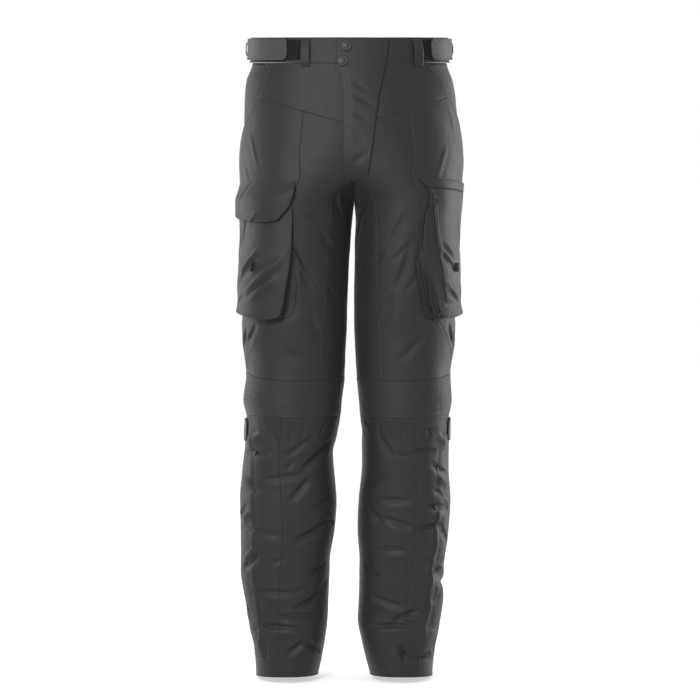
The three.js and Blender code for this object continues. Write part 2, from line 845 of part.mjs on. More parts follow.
function roundedTab(leg, box, stand) {
  const mid = (box.top + box.foot) / 2;
  const half = (box.top - box.foot) / 2;
  const span = ((box.back - box.front) * Math.PI * section(leg, mid).half) / 180;
  const cut = (s) => {
    const toEnd = Math.min(s, 1 - s) * span;
    if (toEnd >= TAB_CORNER) return 0;
    return TAB_CORNER - Math.sqrt(TAB_CORNER ** 2 - (TAB_CORNER - toEnd) ** 2);
  };
  const crowded = (s) => 0.5 - 0.5 * Math.cos(Math.PI * s);
  const spec = {
    front: () => box.front,
    back: () => box.back,
    columns: 10,
    spread: crowded,
    level: (angle, s, t) => mid + (half - cut(crowded(s))) * (1 - 2 * t),
  };
  return overlay(leg, spec, steps(2), () => stand);
}

function addAdjusters() {
  for (const row of ADJUSTERS) {
    const leg = LEGS[row.leg];
    const box = { top: TAB_TOP, foot: TAB_FOOT, front: row.tabFront, back: row.tabBack };
    const tab = roundedTab(leg, box, TAB_STAND);
    add(`waist_tab_${leg.name}`, tab, COLOURS.tab, 0.7);
    const hookBack = row.tabBack - HOOK_SHORTER;
    const hook = { front: () => row.hookFront, back: () => hookBack, columns: 10 };
    const levels = levelsBetween(HOOK_TOP, HOOK_FOOT, 1);
    add(`hook_strip_${leg.name}`, overlay(leg, hook, levels, () => LIE, HOOK_WALL), COLOURS.trim);
    const piping = { front: () => PIPING_FRONT[leg.name], back: () => PIPING_BACK, columns: 12 };
    const foot = BAND_FOOT - PIPING_HEIGHT / 2;
    const cord = overlay(leg, piping, [foot + PIPING_HEIGHT, foot], () => LIE, PIPING_STAND);
    add(`waist_piping_${leg.name}`, cord, COLOURS.piping, 0.5);
  }
}

// The centre-back loop crosses the rise seam, so it follows one half across it
function addCentreLoop() {
  const leg = LEGS.left;
  const middle = centreAngle(leg, 0);
  addLoop('belt_loop_back', leg, middle);
}

function addLoop(name, leg, angle) {
  const half = degrees(LOOP_WIDTH / 2 / radiusAt(section(leg, 0), angle));
  const spec = { front: () => angle - half, back: () => angle + half, columns: 1 };
  const bow = (s, t) => LOOP_SEAT + LOOP_BOW * Math.sin(Math.PI * t);
  const levels = levelsBetween(LOOP_TOP, LOOP_FOOT, 6);
  add(name, overlay(leg, spec, levels, bow, LOOP_WALL), COLOURS.cloth);
}

// The front of the two halves at one place, bridged where they meet
function frontAt(x, z) {
  const fronts = Object.values(LEGS).map((leg) => {
    const oval = section(leg, z);
    const q = Math.min(Math.abs((leg.side * x - oval.middle) / oval.half), 1);
    return -(oval.y - oval.depth * (1 - q ** SQUARENESS) ** (1 / SQUARENESS));
  });
  const most = Math.max(...fronts);
  const sum = fronts.reduce((total, y) => total + Math.exp((y - most) / FLY_BRIDGE), 0);
  const y = -(most + FLY_BRIDGE * Math.log(sum));
  return new THREE.Vector3(x, y, z + lean(z) * y);
}

function onFly(x, z, out) {
  const here = frontAt(x, z);
  const beside = frontAt(x + 1, z).sub(here);
  const below = frontAt(x, z - 1).sub(here);
  return here.addScaledVector(below.cross(beside).normalize(), out);
}

function addFly() {
  const free = follow(FLY_EDGES, 'free', 'z');
  const seam = follow(FLY_EDGES, 'seam', 'z');
  const grid = (out) => steps(FLY_ROWS).map((t) => {
    const z = mix(FLY_TOP, FLY_FOOT, t);
    return steps(FLY_COLUMNS).map((s) => {
      return onFly(mix(free(z), seam(z), s), z + FLY_FOOT_RISE * t * t * s, out + t);
    });
  });
  add('fly_flap', wall(grid(LIE + WALL), grid(LIE)), COLOURS.cloth);
}

function addSnap(row) {
  const foot = LIE + WALL + SEAM;
  const seat = onFly(row.x, row.z, foot);
  const normal = onFly(row.x, row.z, foot + 1).sub(seat).normalize();
  const rim = SNAP_RADIUS;
  const profile = [
    [0, 0],
    [rim - 1, 0],
    [rim, 0.8],
    [rim, 1.8],
    [rim - 1.4, 2.8],
    [rim * 0.5, SNAP_HEIGHT],
    [0, SNAP_HEIGHT],
  ].map(([x, y]) => new THREE.Vector2(x, y));
  const mesh = add(row.name, new THREE.LatheGeometry(profile, SNAP_SIDES), COLOURS.button, 0.5);
  mesh.quaternion.setFromUnitVectors(new THREE.Vector3(0, 1, 0), normal);
  mesh.position.copy(seat);
}

// Pouch wall: its front and foot edges turn down to the cloth, its top and back lie close
function pouchStand(s, t) {
  const foot = Math.min((1 - t) / POUCH_TURN.foot, 1);
  const edge = Math.min(s / POUCH_TURN.front, 1);
  const eased = 1 - POUCH_EASE.by * smooth((s - POUCH_EASE.from) / (1 - POUCH_EASE.from));
  const opened = smooth((t - POUCH_OPENS.from) / (POUCH_OPENS.to - POUCH_OPENS.from));
  return POUCH_SEAT + POUCH_DEPTH * opened * eased * foot * edge;
}

function addPouch(leg) {
  const across = (s) => POUCH_COLUMNS[Math.round(s * (POUCH_COLUMNS.length - 1))];
  const down = (t) => POUCH_ROWS[Math.round(t * (POUCH_ROWS.length - 1))];
  const spec = {
    front: leg.pouchFront,
    back: () => POUCH_BACK,
    columns: POUCH_COLUMNS.length - 1,
    spread: across,
    level: (angle, s, t, level) => {
      const corner = Math.max(1 - across(s) / POUCH_CORNER.share, 0);
      const rise = POUCH_CORNER.rise * corner ** 2 + POUCH_FOOT_RISE * s;
      return level + rise * smooth((t - 0.5) * 2);
    },
  };
  const levels = POUCH_ROWS.map((t) => mix(POUCH_TOP, POUCH_FOOT, t));
  const stand = (s, t) => pouchStand(across(s), down(t));
  add(`cargo_pocket_${leg.name}`, overlay(leg, spec, levels, stand, POUCH_WALL), COLOURS.cloth);
}

function addFlap(leg) {
  const foot = follow(FLAP_FOOT, 'right', 'angle');
  const crowded = (s) => s ** FLAP_CROWD;
  const spec = {
    front: (share) => mix(FLAP_FRONT.top, FLAP_FRONT.foot, share),
    back: () => FLAP_BACK,
    columns: 12,
    spread: crowded,
    level: (angle, s, t) => mix(FLAP_TOP, foot(mix(FLAP_FRONT.foot, FLAP_BACK, crowded(s))), t),
  };
  const stand = (s, t) => LIE + FLAP_SEAT + FLAP_STAND * smooth(t * 2) + FLAP_FLARE * t;
  add(`pocket_flap_${leg.name}`, overlay(leg, spec, steps(5), stand), COLOURS.cloth);
}

function addPocketBand(leg) {
  const top = POUCH_TOP + POUCH_BAND_HEIGHT;
  const spec = { front: leg.pouchFront, back: () => POUCH_BACK, columns: 9 };
  const levels = [top, POUCH_TOP + POUCH_BAND_GAP];
  add(`pocket_top_${leg.name}`, overlay(leg, spec, levels, () => POUCH_SEAT, POUCH_WALL), COLOURS.cloth);
}

function pouchAt(level) {
  return (level - POUCH_TOP) / (POUCH_FOOT - POUCH_TOP);
}

// Zip on the left pouch: it lies on the pouch's outer face
function addPocketZip(leg) {
  const line = follow(ZIP_LINE, 'left', 'level');
  const half = degrees(ZIP_WIDTH / 2 / section(leg, ZIP_TOP).half);
  const share = (angle, level) => {
    const from = leg.pouchFront(level);
    return (angle - from) / (POUCH_BACK - from);
  };
  const spec = { front: (z) => line(z) - half, back: (z) => line(z) + half, columns: 2 };
  const levels = levelsBetween(ZIP_TOP, ZIP_FOOT, 12);
  const stand = (s, t, angle, level) => {
    return pouchStand(share(angle, level), pouchAt(level)) + POUCH_WALL + ZIP_STAND;
  };
  add(`pocket_zip_${leg.name}`, overlay(leg, spec, levels, stand, ZIP_WALL), COLOURS.trim, 0.6);
}

// A small folded tag that stands out from the pouch
function addTag(leg, { angle, seat }) {
  const from = leg.pouchFront(TAG.level);
  const on = (level) => {
    const s = (angle - from) / (POUCH_BACK - from);
    return pouchStand(s, pouchAt(level)) + POUCH_WALL + seat;
  };
  const half = degrees(TAG.thickness / 2 / section(leg, TAG.level).half);
  const spec = { front: () => angle - half, back: () => angle + half, columns: 1 };
  const levels = [TAG.level, TAG.level - TAG.height];
  const outer = patch(leg, spec, levels, (s, t, a, level) => on(level) + TAG.width);
  const inner = patch(leg, spec, levels, (s, t, a, level) => on(level));
  add(`pocket_tag_${leg.name}`, wall(outer, inner), COLOURS.trim);
}

// Loop of webbing at the outer end of each waist tab
function addPullLoop(leg, angle) {
  const half = degrees(PULL.width / 2 / section(leg, 0).half);
  const spec = { front: () => angle - half, back: () => angle + half, columns: 1 };
  const bow = (s, t) => PULL.stand + PULL.bow * Math.sin(Math.PI * t);
  const levels = levelsBetween(PULL.top, PULL.foot, 6);
  add(`tab_pull_${leg.name}`, overlay(leg, spec, levels, bow, PULL.thickness), COLOURS.trim);
}

for (const leg of Object.values(LEGS)) {
  addHip(leg);
  addThigh(leg);
  addKnee(leg);
  addLowerLeg(leg);
  addPouch(leg);
  add(`knee_tab_${leg.name}`, roundedTab(leg, KNEE_TAB, KNEE_TAB.stand), COLOURS.tab, 0.7);
}
addWaistband();
addAdjusters();
LOOPS.forEach((row) => addLoop(row.name, LEGS[row.leg], row.angle));
addCentreLoop();
addFly();
SNAPS.forEach(addSnap);
addFlap(LEGS.right);
addPocketBand(LEGS.left);
addPocketZip(LEGS.left);
for (const leg of Object.values(LEGS)) {
  addTag(leg, TAG[leg.name]);
  addPullLoop(leg, PULL[leg.name]);
}

export default model;
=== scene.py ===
import math

import bpy
import numpy as np
from mathutils import Matrix, Vector


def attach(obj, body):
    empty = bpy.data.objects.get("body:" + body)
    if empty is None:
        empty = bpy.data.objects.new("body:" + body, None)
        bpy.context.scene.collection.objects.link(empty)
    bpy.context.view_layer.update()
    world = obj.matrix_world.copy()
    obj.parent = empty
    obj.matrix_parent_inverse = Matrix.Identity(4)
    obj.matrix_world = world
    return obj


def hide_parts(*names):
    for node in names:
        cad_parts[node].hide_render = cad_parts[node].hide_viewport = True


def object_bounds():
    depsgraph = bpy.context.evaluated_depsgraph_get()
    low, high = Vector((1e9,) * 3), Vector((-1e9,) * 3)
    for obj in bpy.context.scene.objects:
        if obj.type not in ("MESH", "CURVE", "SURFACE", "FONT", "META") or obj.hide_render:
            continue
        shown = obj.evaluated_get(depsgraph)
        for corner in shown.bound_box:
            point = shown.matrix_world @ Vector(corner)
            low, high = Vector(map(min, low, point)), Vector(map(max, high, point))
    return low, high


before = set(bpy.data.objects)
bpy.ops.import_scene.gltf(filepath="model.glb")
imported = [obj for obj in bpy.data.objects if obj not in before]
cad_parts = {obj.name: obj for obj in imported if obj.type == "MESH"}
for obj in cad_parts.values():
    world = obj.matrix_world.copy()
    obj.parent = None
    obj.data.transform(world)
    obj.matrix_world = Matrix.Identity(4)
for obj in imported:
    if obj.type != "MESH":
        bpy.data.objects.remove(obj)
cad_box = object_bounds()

# Motorcycle trousers, standing as worn with nobody in them. Sizes are in millimetres and are
# turned into metres where a mesh is made. Each leg is a tube from waist to hem: a place on it is
# an angle (0 outer side, -90 front, 90 back, 180 inseam) and a level, a height that dips where
# the cross seams dip. The wearer faces -Y, so the wearer's left is +X.

MM = 0.001
WALL = 2.0
HEM_WALL = 3.0
SEAM = 0.3
SEWN = 0.02
LIE = 0.8
SQUARENESS = 2.2

BAND_TOP = 20
BAND_FOOT = -21
YOKE_FOOT = -106
YOKE_DIP_END = -205
KNEE_DIP_START = -300
FORK = -253
INNER_SEAM_TOP = -208
KNEE_TOP = -540
KNEE_FOOT = -602
HEM = -1022
HEM_DEPTH = 28
HEM_DRAW = dict(depth=0.5, wide=1.6)
SHIN_DIP_SHARE = 0.3

RIBS = 18
RIB_HEIGHT = 0.8
RIB_STEPS = 6

LEAN = 0.14
LEAN_TOP = -20
LEAN_FOOT = -170

# Fineness of the cloth's grid: the usual cell, and the closer steps beside an edge
CELL = 2.7
EDGE_STEPS = (0, 0.7, 1.5, 2.4, 3.6, 5.2, 7.2)
INNER_STRIDE = 4


def table(columns, *rows):
    """A short table as one array for each named column."""
    return dict(zip(columns.split(), np.array(rows, float).T))


SECTIONS = table(
    "z right left front back",
    (21, 163, 161, -107, 108),
    (-20, 164, 163, -110, 111),
    (-50, 174, 173, -113, 118),
    (-82, 177, 178, -117, 127),
    (-131, 178, 182, -121, 140),
    (-181, 182, 187, -122, 147),
    (-230, 181, 184, -120, 143),
    (-279, 178, 178, -116, 130),
    (-345, 175, 172, -110, 121),
    (-411, 173, 168, -103, 111),
    (-450, 178, 173, -100, 105),
    (-476, 177, 172, -97, 101),
    (-534, 170, 164, -93, 92),
    (-575, 175, 166, -92, 88),
    (-602, 170, 162, -87, 88),
    (-645, 171, 161, -80, 91),
    (-690, 177, 162, -77, 95),
    (-740, 181, 165, -75, 96),
    (-800, 180, 161, -72, 94),
    (-850, 180, 154, -68, 91),
    (-900, 173, 153, -64, 88),
    (-950, 165, 146, -61, 85),
    (-980, 158, 140, -59, 83),
    (-1022, 155, 136, -58, 82),
)
INSEAMS = table(
    "z right left",
    (-253, -6.8, 7.2),
    (-279, -4, 9),
    (-312, -1, 8),
    (-345, 1, 7.4),
    (-411, 4, 6.5),
    (-476, 6, 7.4),
    (-534, 9, 11),
    (-575, 14, 15.6),
    (-602, 16, 17),
    (-630, 21, 20),
    (-660, 28, 20),
    (-690, 26, 19),
    (-740, 22, 14),
    (-790, 26, 12.5),
    (-838, 33, 15),
    (-888, 35, 14.5),
    (-937, 37, 13),
    (-970, 41, 19),
    (-1000, 47, 26),
    (-1022, 52, 32),
)
RISE = table(
    "z x parted",
    (21, -5, 0),
    (-20, -4, 0),
    (-80, -2, 0.04),
    (-130, 0, 0.1),
    (-180, 3, 0.24),
    (-213, 5, 0.45),
    (-233, 6, 0.74),
    (-244, 6.6, 0.9),
    (-253, 7, 1),
)

# Seams that run down a leg, by angle
FRONT_SEAM = table(
    "level right left",
    (-106, -62, -52),
    (-175, -69, -62),
    (-200, -74.5, -68.5),
    (-235, -85, -79.5),
    (-326, -88, -80),
    (-400, -82, -71),
    (-442, -70, -59),
    (-477, -56, -42),
    (-510, -30, -22),
    (-540, -8, -6),
)
INNER_SEAM = table(
    "level right left",
    (-208, -112, -112),
    (-226, -116, -116),
    (-255, -118, -118),
    (-310, -117, -116),
    (-400, -117, -115),
    (-540, -116, -112),
)
SIDE_SEAM = table("level right left", (-21, 22, 22), (-165, 26, 26), (-350, 34, 34), (-540, 40, 40))
SHIN_SEAM = table(
    "level right left",
    (-602, -78, -76),
    (-734, -84, -77),
    (-831, -87, -78),
    (-896, -82, -83),
    (-1022, -75, -86),
)
CALF_SEAM = table(
    "level right left",
    (-602, -34, -30),
    (-700, -46, -48),
    (-830, -50, -51),
    (-960, -52, -56),
    (-1022, -54, -62),
)
POCKET_EDGE = table(
    "level right left",
    (-21, -27, -30),
    (-43, -31, -27),
    (-63, -31, -23),
    (-106, -29, -21),
)
BACK_KNEE_FRONT = 14

# The hip pocket's facing: how far it reaches under the yoke, and how far it hangs at each side
FACING = dict(tuck=5, front=2, back=22)

# How much higher than its level each cross seam runs, by angle
YOKE_DIP = {
    "right": table(
        "angle dip",
        (-120, -34), (-91, -22), (-62, -1), (-29, 26), (-19, -9), (-4, -42), (25, -59), (90, 0),
    ),
    "left": table(
        "angle dip",
        (-120, -34), (-91, -26), (-52, 3), (-21, 29), (-11, -14), (-2, -42), (25, -59), (90, 0),
    ),
}
KNEE_TOP_DIP = table(
    "angle right left",
    (-180, 3, 3), (-90, -3, -3), (-60, 0, 0), (-8, 11, 9), (60, 3, 3), (180, 3, 3),
)
KNEE_FOOT_DIP = table("angle right left", (-180, 5, 5), (-90, 0, 0), (-25, 3, 5), (180, 5, 5))
HEM_DIP = table("angle dip", (-180, -4), (-90, 0), (0, -6), (90, -9), (180, -4))

# Creases. Size and place are along the cloth: half the length, half the width and the depth.
# Slant is the rise towards the outer side in degrees, and bend how much higher the middle lies
# than the ends. A negative depth stands out. On each leg the lower front comes first, then the
# back and the thigh, then finer ones.
FOLD_COLUMNS = "level angle reach width depth slant bend"
FOLDS = {
    "right": table(
        FOLD_COLUMNS,
        (-646, -102, 28, 7.5, 3.5, -36, 0),
        (-666, -123, 42, 8, 6, -37, 2),
        (-715, -104, 28, 8, 5.5, -47, 0),
        (-676, -93, 11, 5, 2, -54, 0),
        (-658, -53, 34, 6, 5, -1, 0),
        (-698, -86, 42, 6, 3, -8, 2),
        (-719, -43, 30, 6, 2.4, 3, 0),
        (-784, -56, 46, 7, 3.2, 8, 0),
        (-785, -119, 37, 8, 6, -26, 0),
        (-834, -45, 24, 7, 4.5, -32, 0),
        (-822, -42, 20, 8, -3, -30, 0),
        (-832, -83, 14, 5, 2, -20, 0),
        (-878, -112, 18, 6, 3, -12, 0),
        (-885, -78, 46, 6, 4, 2, 3),
        (-898, -119, 31, 7, 6, -24, 0),
        (-921, -108, 39, 8, 5.5, -3, 0),
        (-942, -77, 50, 6, 5, 2, 4),
        (-949, -63, 12, 5, 3.5, 14, 0),
        (-973, -100, 20, 7, 4.5, -36, 0),
        (-970, -126, 28, 7, 4, 27, 0),
        (-638, -42, 26, 12, -4.6, -20, 0),
        (-702, -36, 20, 9, -3, 10, 0),
        (-760, -36, 18, 8, -2.6, -15, 0),
        (-661, -74, 32, 4, -1.4, 85, 0),
        (-700, 90, 110, 15, 6, 8, 8),
        (-790, 100, 90, 13, 6, -10, 6),
        (-880, 80, 110, 14, 6, 6, 10),
        (-950, 100, 90, 12, 5, -6, 5),
        (-640, 95, 70, 13, 5, 4, -8),
        (-366, -97, 42, 9, 4, 63, 0),
        (-265, -128, 34, 10, 3.2, 50, 0),
        (-560, 95, 90, 10, 5, 0, 0),
        (-515, 100, 80, 12, 5, 5, -6),
        (-290, 110, 80, 17, 4.5, 28, 10),
        (-320, 140, 60, 15, 4, 34, 6),
        (-173, -32, 46, 3.6, -1.2, 48, 0),
        (-207, -30, 26, 3.4, -1.2, 44, 0),
        (-756, -26, 26, 8, 3, -34, 0),
        (-846, -134, 24, 7, 2.4, -24, 0),
        (-915, -34, 18, 7, 3, 52, 0),
        (-976, -58, 18, 6, 2.2, 70, 0),
        (-966, -46, 16, 7, -2.2, -60, 0),
        (-628, -92, 17, 4, 1.7, 84, 0),
        (-626, -104, 15, 4, 1.8, 96, 0),
        (-630, -74, 18, 5, 2.2, 74, 0),
        (-627, -60, 15, 4, 1.8, 62, 0),
        (-622, -128, 14, 4, 1.4, 104, 0),
        (-740, -132, 26, 8, 2.2, -16, 0),
        (-770, -150, 18, 7, 2.4, 16, 0),
        (-870, -150, 22, 7, 2.2, -24, 0),
        (-282, -105, 18, 7, 1.8, 18, 0),
        (-318, -118, 30, 9, 2, 45, 0),
        (-340, -138, 30, 9, 1.8, 42, 0),
        (-380, -106, 26, 7, 1.5, 62, 0),
        (-404, -130, 28, 10, 1.6, 40, 0),
        (-238, -126, 22, 6, 1.8, 14, 0),
        (-285, -148, 26, 7, 1.8, 62, 0),
        (-452, -112, 34, 10, 1.6, 64, 0),
        (-500, -96, 30, 10, 1.6, 18, 0),
        (-468, -44, 24, 6, 3, -48, 0),
        (-480, -24, 26, 7, 3, -56, 0),
        (-665, 55, 40, 9, 3.4, -18, 0),
        (-740, 62, 60, 9, 3.2, 12, 5),
        (-745, 128, 46, 9, 3.6, -16, 0),
        (-835, 60, 44, 8, 3.4, -14, 0),
        (-840, 120, 60, 9, 3.2, 8, -5),
        (-915, 60, 50, 8, 3.4, -8, 4),
        (-915, 128, 40, 8, 3.4, 14, 0),
        (-985, 82, 44, 9, 2.6, 5, 0),
        (-360, 92, 50, 9, 2.4, 40, 0),
        (-420, 118, 46, 10, 2.2, 30, 0),
        (-470, 84, 50, 9, 2.6, -10, 4),
        (-245, 96, 46, 9, 2.2, 22, 6),
        (-150, 84, 40, 9, 1.8, 30, 0),
        (-110, 60, 36, 9, 1.6, 50, 0),
    ),
    "left": table(
        FOLD_COLUMNS,
        (-622, -66, 24, 6, 3, -1, 0),
        (-657, -71, 28, 7, 4.5, 4, 3),
        (-661, -95, 10, 5, 2, -30, 0),
        (-640, -40, 20, 9, -3, -30, 0),
        (-687, -46, 28, 7, 3.2, -25, 0),
        (-706, -38, 20, 8, -2.6, -25, 0),
        (-726, -46, 24, 6, 2, -26, 0),
        (-736, -101, 30, 6, 3.5, 0, 3),
        (-757, -126, 23, 7, 3.5, -30, 0),
        (-745, -52, 32, 7, 5, -9, 0),
        (-735, -36, 20, 6, -2.4, -38, 0),
        (-770, -96, 27, 7, 4, -19, 0),
        (-776, -62, 29, 7, 5, 8, 0),
        (-815, -109, 33, 6, 3.5, -1, 3),
        (-847, -82, 9, 5, 2, -58, 0),
        (-829, -63, 10, 5, 3, 10, 0),
        (-897, -110, 31, 7, 4, -17, 0),
        (-919, -84, 25, 7, 6, 21, 0),
        (-930, -84, 24, 6, 4, -6, 0),
        (-940, -101, 42, 6, 5.5, 0, 4),
        (-981, -85, 16, 7, 4.5, -62, 0),
        (-988, -61, 26, 8, 5, 19, 0),
        (-860, -20, 60, 13, 5, -20, 0),
        (-690, 95, 110, 15, 6, -8, 8),
        (-780, 85, 90, 13, 6, 10, 6),
        (-870, 100, 110, 14, 6, -6, 10),
        (-955, 85, 90, 12, 5, 6, 5),
        (-640, 90, 70, 13, 5, -4, -8),
        (-305, -100, 40, 12, 1.8, 60, 0),
        (-483, -83, 36, 9, 2.6, 47, 0),
        (-360, -92, 44, 12, 1.8, 72, 0),
        (-565, 95, 90, 10, 5, 0, 0),
        (-512, 95, 80, 12, 5, -5, -6),
        (-290, 110, 80, 17, 4.5, 28, 10),
        (-325, 140, 60, 15, 4, 34, 6),
        (-193, -45, 40, 3.6, -1.2, 43, 0),
        (-145, -23, 26, 3.6, -1.2, 90, 0),
        (-790, -34, 24, 7, 3, -40, 0),
        (-840, -40, 22, 6, 2.4, 58, 0),
        (-884, -36, 26, 6, 2.4, 64, 0),
        (-912, -126, 24, 7, 2, 14, 0),
        (-940, -36, 26, 6, 2.4, -6, 0),
        (-966, -30, 18, 6, 2.6, 56, 0),
        (-646, -112, 30, 8, 2, -54, 0),
        (-614, -140, 14, 5, 2.2, -24, 0),
        (-626, -96, 15, 4, 1.6, 86, 0),
        (-628, -80, 17, 4, 1.8, 78, 0),
        (-626, -64, 15, 4, 1.8, 70, 0),
        (-622, -122, 14, 4, 1.4, 100, 0),
        (-850, -130, 24, 8, 2, -30, 0),
        (-700, -130, 26, 9, 2, 24, 0),
        (-240, -126, 22, 6, 1.8, 16, 0),
        (-268, -134, 22, 7, 2, 34, 0),
        (-286, -123, 20, 8, 2, 47, 0),
        (-292, -148, 26, 7, 1.8, 60, 0),
        (-340, -115, 18, 8, 1.8, 46, 0),
        (-335, -94, 26, 8, 1.4, 46, 0),
        (-382, -84, 24, 7, 1.5, 54, 0),
        (-430, -108, 34, 10, 1.6, 64, 0),
        (-470, -34, 24, 6, 3, -62, 0),
        (-486, -16, 26, 6, 3, -66, 0),
        (-668, 58, 40, 9, 3.4, 16, 0),
        (-735, 55, 56, 9, 3.2, -12, 4),
        (-738, 130, 44, 9, 3.6, 14, 0),
        (-828, 62, 48, 8, 3.4, 12, 0),
        (-832, 124, 56, 9, 3.2, -8, -5),
        (-912, 64, 46, 8, 3.4, 10, 4),
        (-918, 126, 42, 8, 3.4, -14, 0),
        (-988, 88, 44, 9, 2.6, -5, 0),
        (-366, 96, 50, 9, 2.4, 36, 0),
        (-428, 114, 44, 10, 2.2, 32, 0),
        (-474, 80, 50, 9, 2.6, 8, 4),
        (-248, 92, 44, 9, 2.2, 24, 6),
        (-146, 80, 38, 9, 1.8, 32, 0),
        (-112, 56, 34, 9, 1.6, 46, 0),
    ),
}
# Creases of the cargo pockets' own cloth
POUCH_FOLDS = {
    "right": table(
        FOLD_COLUMNS,
        (-352, -51, 32, 8, -3.6, -47, 0),
        (-368, -68, 55, 8, -4.2, -42, 0),
        (-393, -65, 32, 7, -4, -42, 0),
        (-381, -66, 34, 5, 1.6, -42, 0),
        (-366, -48, 38, 7, 2.4, -46, 0),
        (-418, -34, 26, 7, 3, -30, 0),
        (-300, -40, 34, 7, 2, -72, 0),
        (-330, -20, 50, 9, 2.4, -64, 0),
        (-390, -6, 44, 9, 2.4, -50, 0),
    ),
    "left": table(
        FOLD_COLUMNS,
        (-331, -52, 22, 5, -2.4, -40, 0),
        (-341, -57, 22, 5, -2.4, -39, 0),
        (-350, -55, 24, 6, 2.4, -40, 0),
        (-397, -49, 26, 6, -2.6, -41, 0),
        (-408, -46, 24, 6, 2.4, -41, 0),
        (-300, -30, 40, 8, 2, -70, 0),
        (-330, -10, 46, 9, 2.4, -58, 0),
        (-400, -4, 40, 9, 2.2, -48, 0),
        (-420, -50, 22, 6, 2.4, -20, 0),
    ),
}
FOLD_FADE = 24
SHOULDER = 1.15

# A crease falls steeply from the cloth above it and rises gently below
STEEP = 2.1
GENTLE = 0.66

# How far the drawn depths are carried out, and how bluntly a crease ends
FOLD_GAIN = 1.25
FOLD_END = 1.1

# Slight unevenness of the whole cloth: size of the patches and height
UNEVEN = ((46, 0.7), (19, 0.34), (9, 0.14))
NOISE_CELLS = 32

# Seams: how far an edge rolls under, and how the folded allowance under two rows of sewing shows
SEAM_DROP = 0.4
SEAM_ROLL = 0.9
FELL_HEIGHT = 0.04
FELL_EASE = 1.4
WEAR_WIDTH = 1.6
STITCH_ROWS = {"none": (), "plain": (), "single": (2.2,), "double": (1.9, 7.4)}
STITCH_SINK = 0.24
STITCH_SPREAD = 0.75
PUCKER_HEIGHT = 0.22
PUCKER_LENGTH = 7.6
PUCKER_REACH = 5.5
PUCKER_SWAY = dict(turn=2.2, length=21)
STITCH_PITCH = 3.3
STITCH_LENGTH = 2.5
THREAD_RADIUS = 0.24
STITCH_BEND = ((0, -0.12), (0.5, 0.2), (1, -0.12))

# Cargo pockets
POUCH_TOP = -236
POUCH_FOOT = -445
POUCH_DEPTH = 14
POUCH_SEAT = 1.9
POUCH_WALL = 1.6
POUCH_BACK = 24
POUCH_TUCK = 7
POUCH_SWELL = dict(start=0.12, length=0.73)
POUCH_FLAT = dict(share=0.85, start=0.3, length=0.7)
POUCH_CORNER = dict(share=0.12, rise=7)
POUCH_FOOT_RISE = 12
POUCH_FOLD_FADE = dict(front=0.1, foot=0.08)

# The pouch's rim: places on its side wall, as shares of the tuck, and the height reached there
RIM_AT = (0.0, 0.55, 1.0, 0.8, 0.35, 0.0)
RIM_HEIGHT = (0.0, 0.12, 0.42, 0.74, 0.93, 0.985)

PLEAT = dict(foot=14, depth=9, narrow=1.8, wide=6, start=0.38, full=0.75, ease=1.5)
FLAP_TOP = -224
FLAP_LIP = 1.4
FLAP_RISE = 6.2
FLAP_FLARE = 2.5
FLAP_HEIGHT = 56
FLAP_PAST = dict(back=2, width=10)
FLAP_FOLDS = dict(share=0.6, shift=60)
FLAP_FOOT = table(
    "angle level",
    (-88, -250), (-86, -264), (-82, -276), (-77, -287), (-69, -289), (-40, -283), (-8, -274), (24, -270),
)
FLAP_FRONT = table("level angle", (-224, -80), (-236, -85), (-250, -87.6), (-290, -88))
POUCH_FRONT = table(
    "level right left",
    (-225, -80, -72),
    (-250, -87, -74),
    (-290, -88, -78),
    (-345, -87, -77),
    (-400, -83, -68),
    (-430, -81, -64),
    (-445, -79, -61),
)
POCKET_SINK = 2.2
POUCH_BAND_HEIGHT = 16
ZIP_TOP = -258
ZIP_FOOT = -420
ZIP_WIDTH = 7
ZIP_WALL = 1.2
ZIP_STAND = 0.9
ZIP_SINK = 0.9
ZIP_LIP = dict(upper=0.7, lower=1.5, change=-330, over=30, away=5.4, wide=1.5, past=6, ends=8)
ZIP_TROUGH = dict(depth=0.5, wide=3.2)
ZIP_LINE = table("level left", (-258, -72), (-333, -65), (-381, -60), (-420, -56))
TOOTH_PITCH = 1.5
TOOTH = dict(near=0.25, far=2.1, half=0.45, foot=0.35, top=1.25, slope=0.25)
TAG = dict(wall=0.8, width=5, height=14, thickness=2.4, seat=0.3, level=-352, right=-57, left=-44)

# Fly flap: its free edge on the wearer's right and its seam on the left, in x
FLY_TOP = 19
FLY_FOOT = -226
FLY_EDGES = table(
    "z free seam",
    (21, -20, 62),
    (-27, -22, 56),
    (-42, -15, 53),
    (-80, -11, 46),
    (-172, -11, 36),
    (-226, -8, 28),
)
FLY_BRIDGE = 1.5
FLY_FOOT_RISE = 6
FLY_EDGE_THIN = 1.9
FLY_EDGE_WIDTH = 18
FLY_FLARE = 0.5
FLY_UNDER = 0.3
SNAP_RADIUS = 9
SNAP_HEIGHT = 3.4
SNAP_SIDES = 56
SNAPS = {"snap_upper": (-6, 6), "snap_lower": (-12, -18)}

# Creases of the fly flap: place in x and z, half the length, half the width, depth and slant
FLY_FOLDS = (
    (20, -86, 30, 7, 1.3, -32),
    (16, -60, 26, 7, 1.0, -40),
    (18, -118, 28, 8, 1.1, -30),
    (10, -150, 24, 8, 0.9, -44),
    (14, -190, 22, 7, 1.2, 38),
)

LOOP_WIDTH = 14
LOOP_WALL = 1.6
LOOP_SEAT = 0.5
LOOP_BOW = 4.2
LOOP_TOP = 17
LOOP_FOOT = -27
LOOP_BARTACKS = (1.2, 2.4, 3.6)
LOOPS = {
    "belt_loop_front_right": ("right", -57),
    "belt_loop_front_left": ("left", -37),
    "belt_loop_back_right": ("right", 52),
    "belt_loop_back_left": ("left", 52),
}

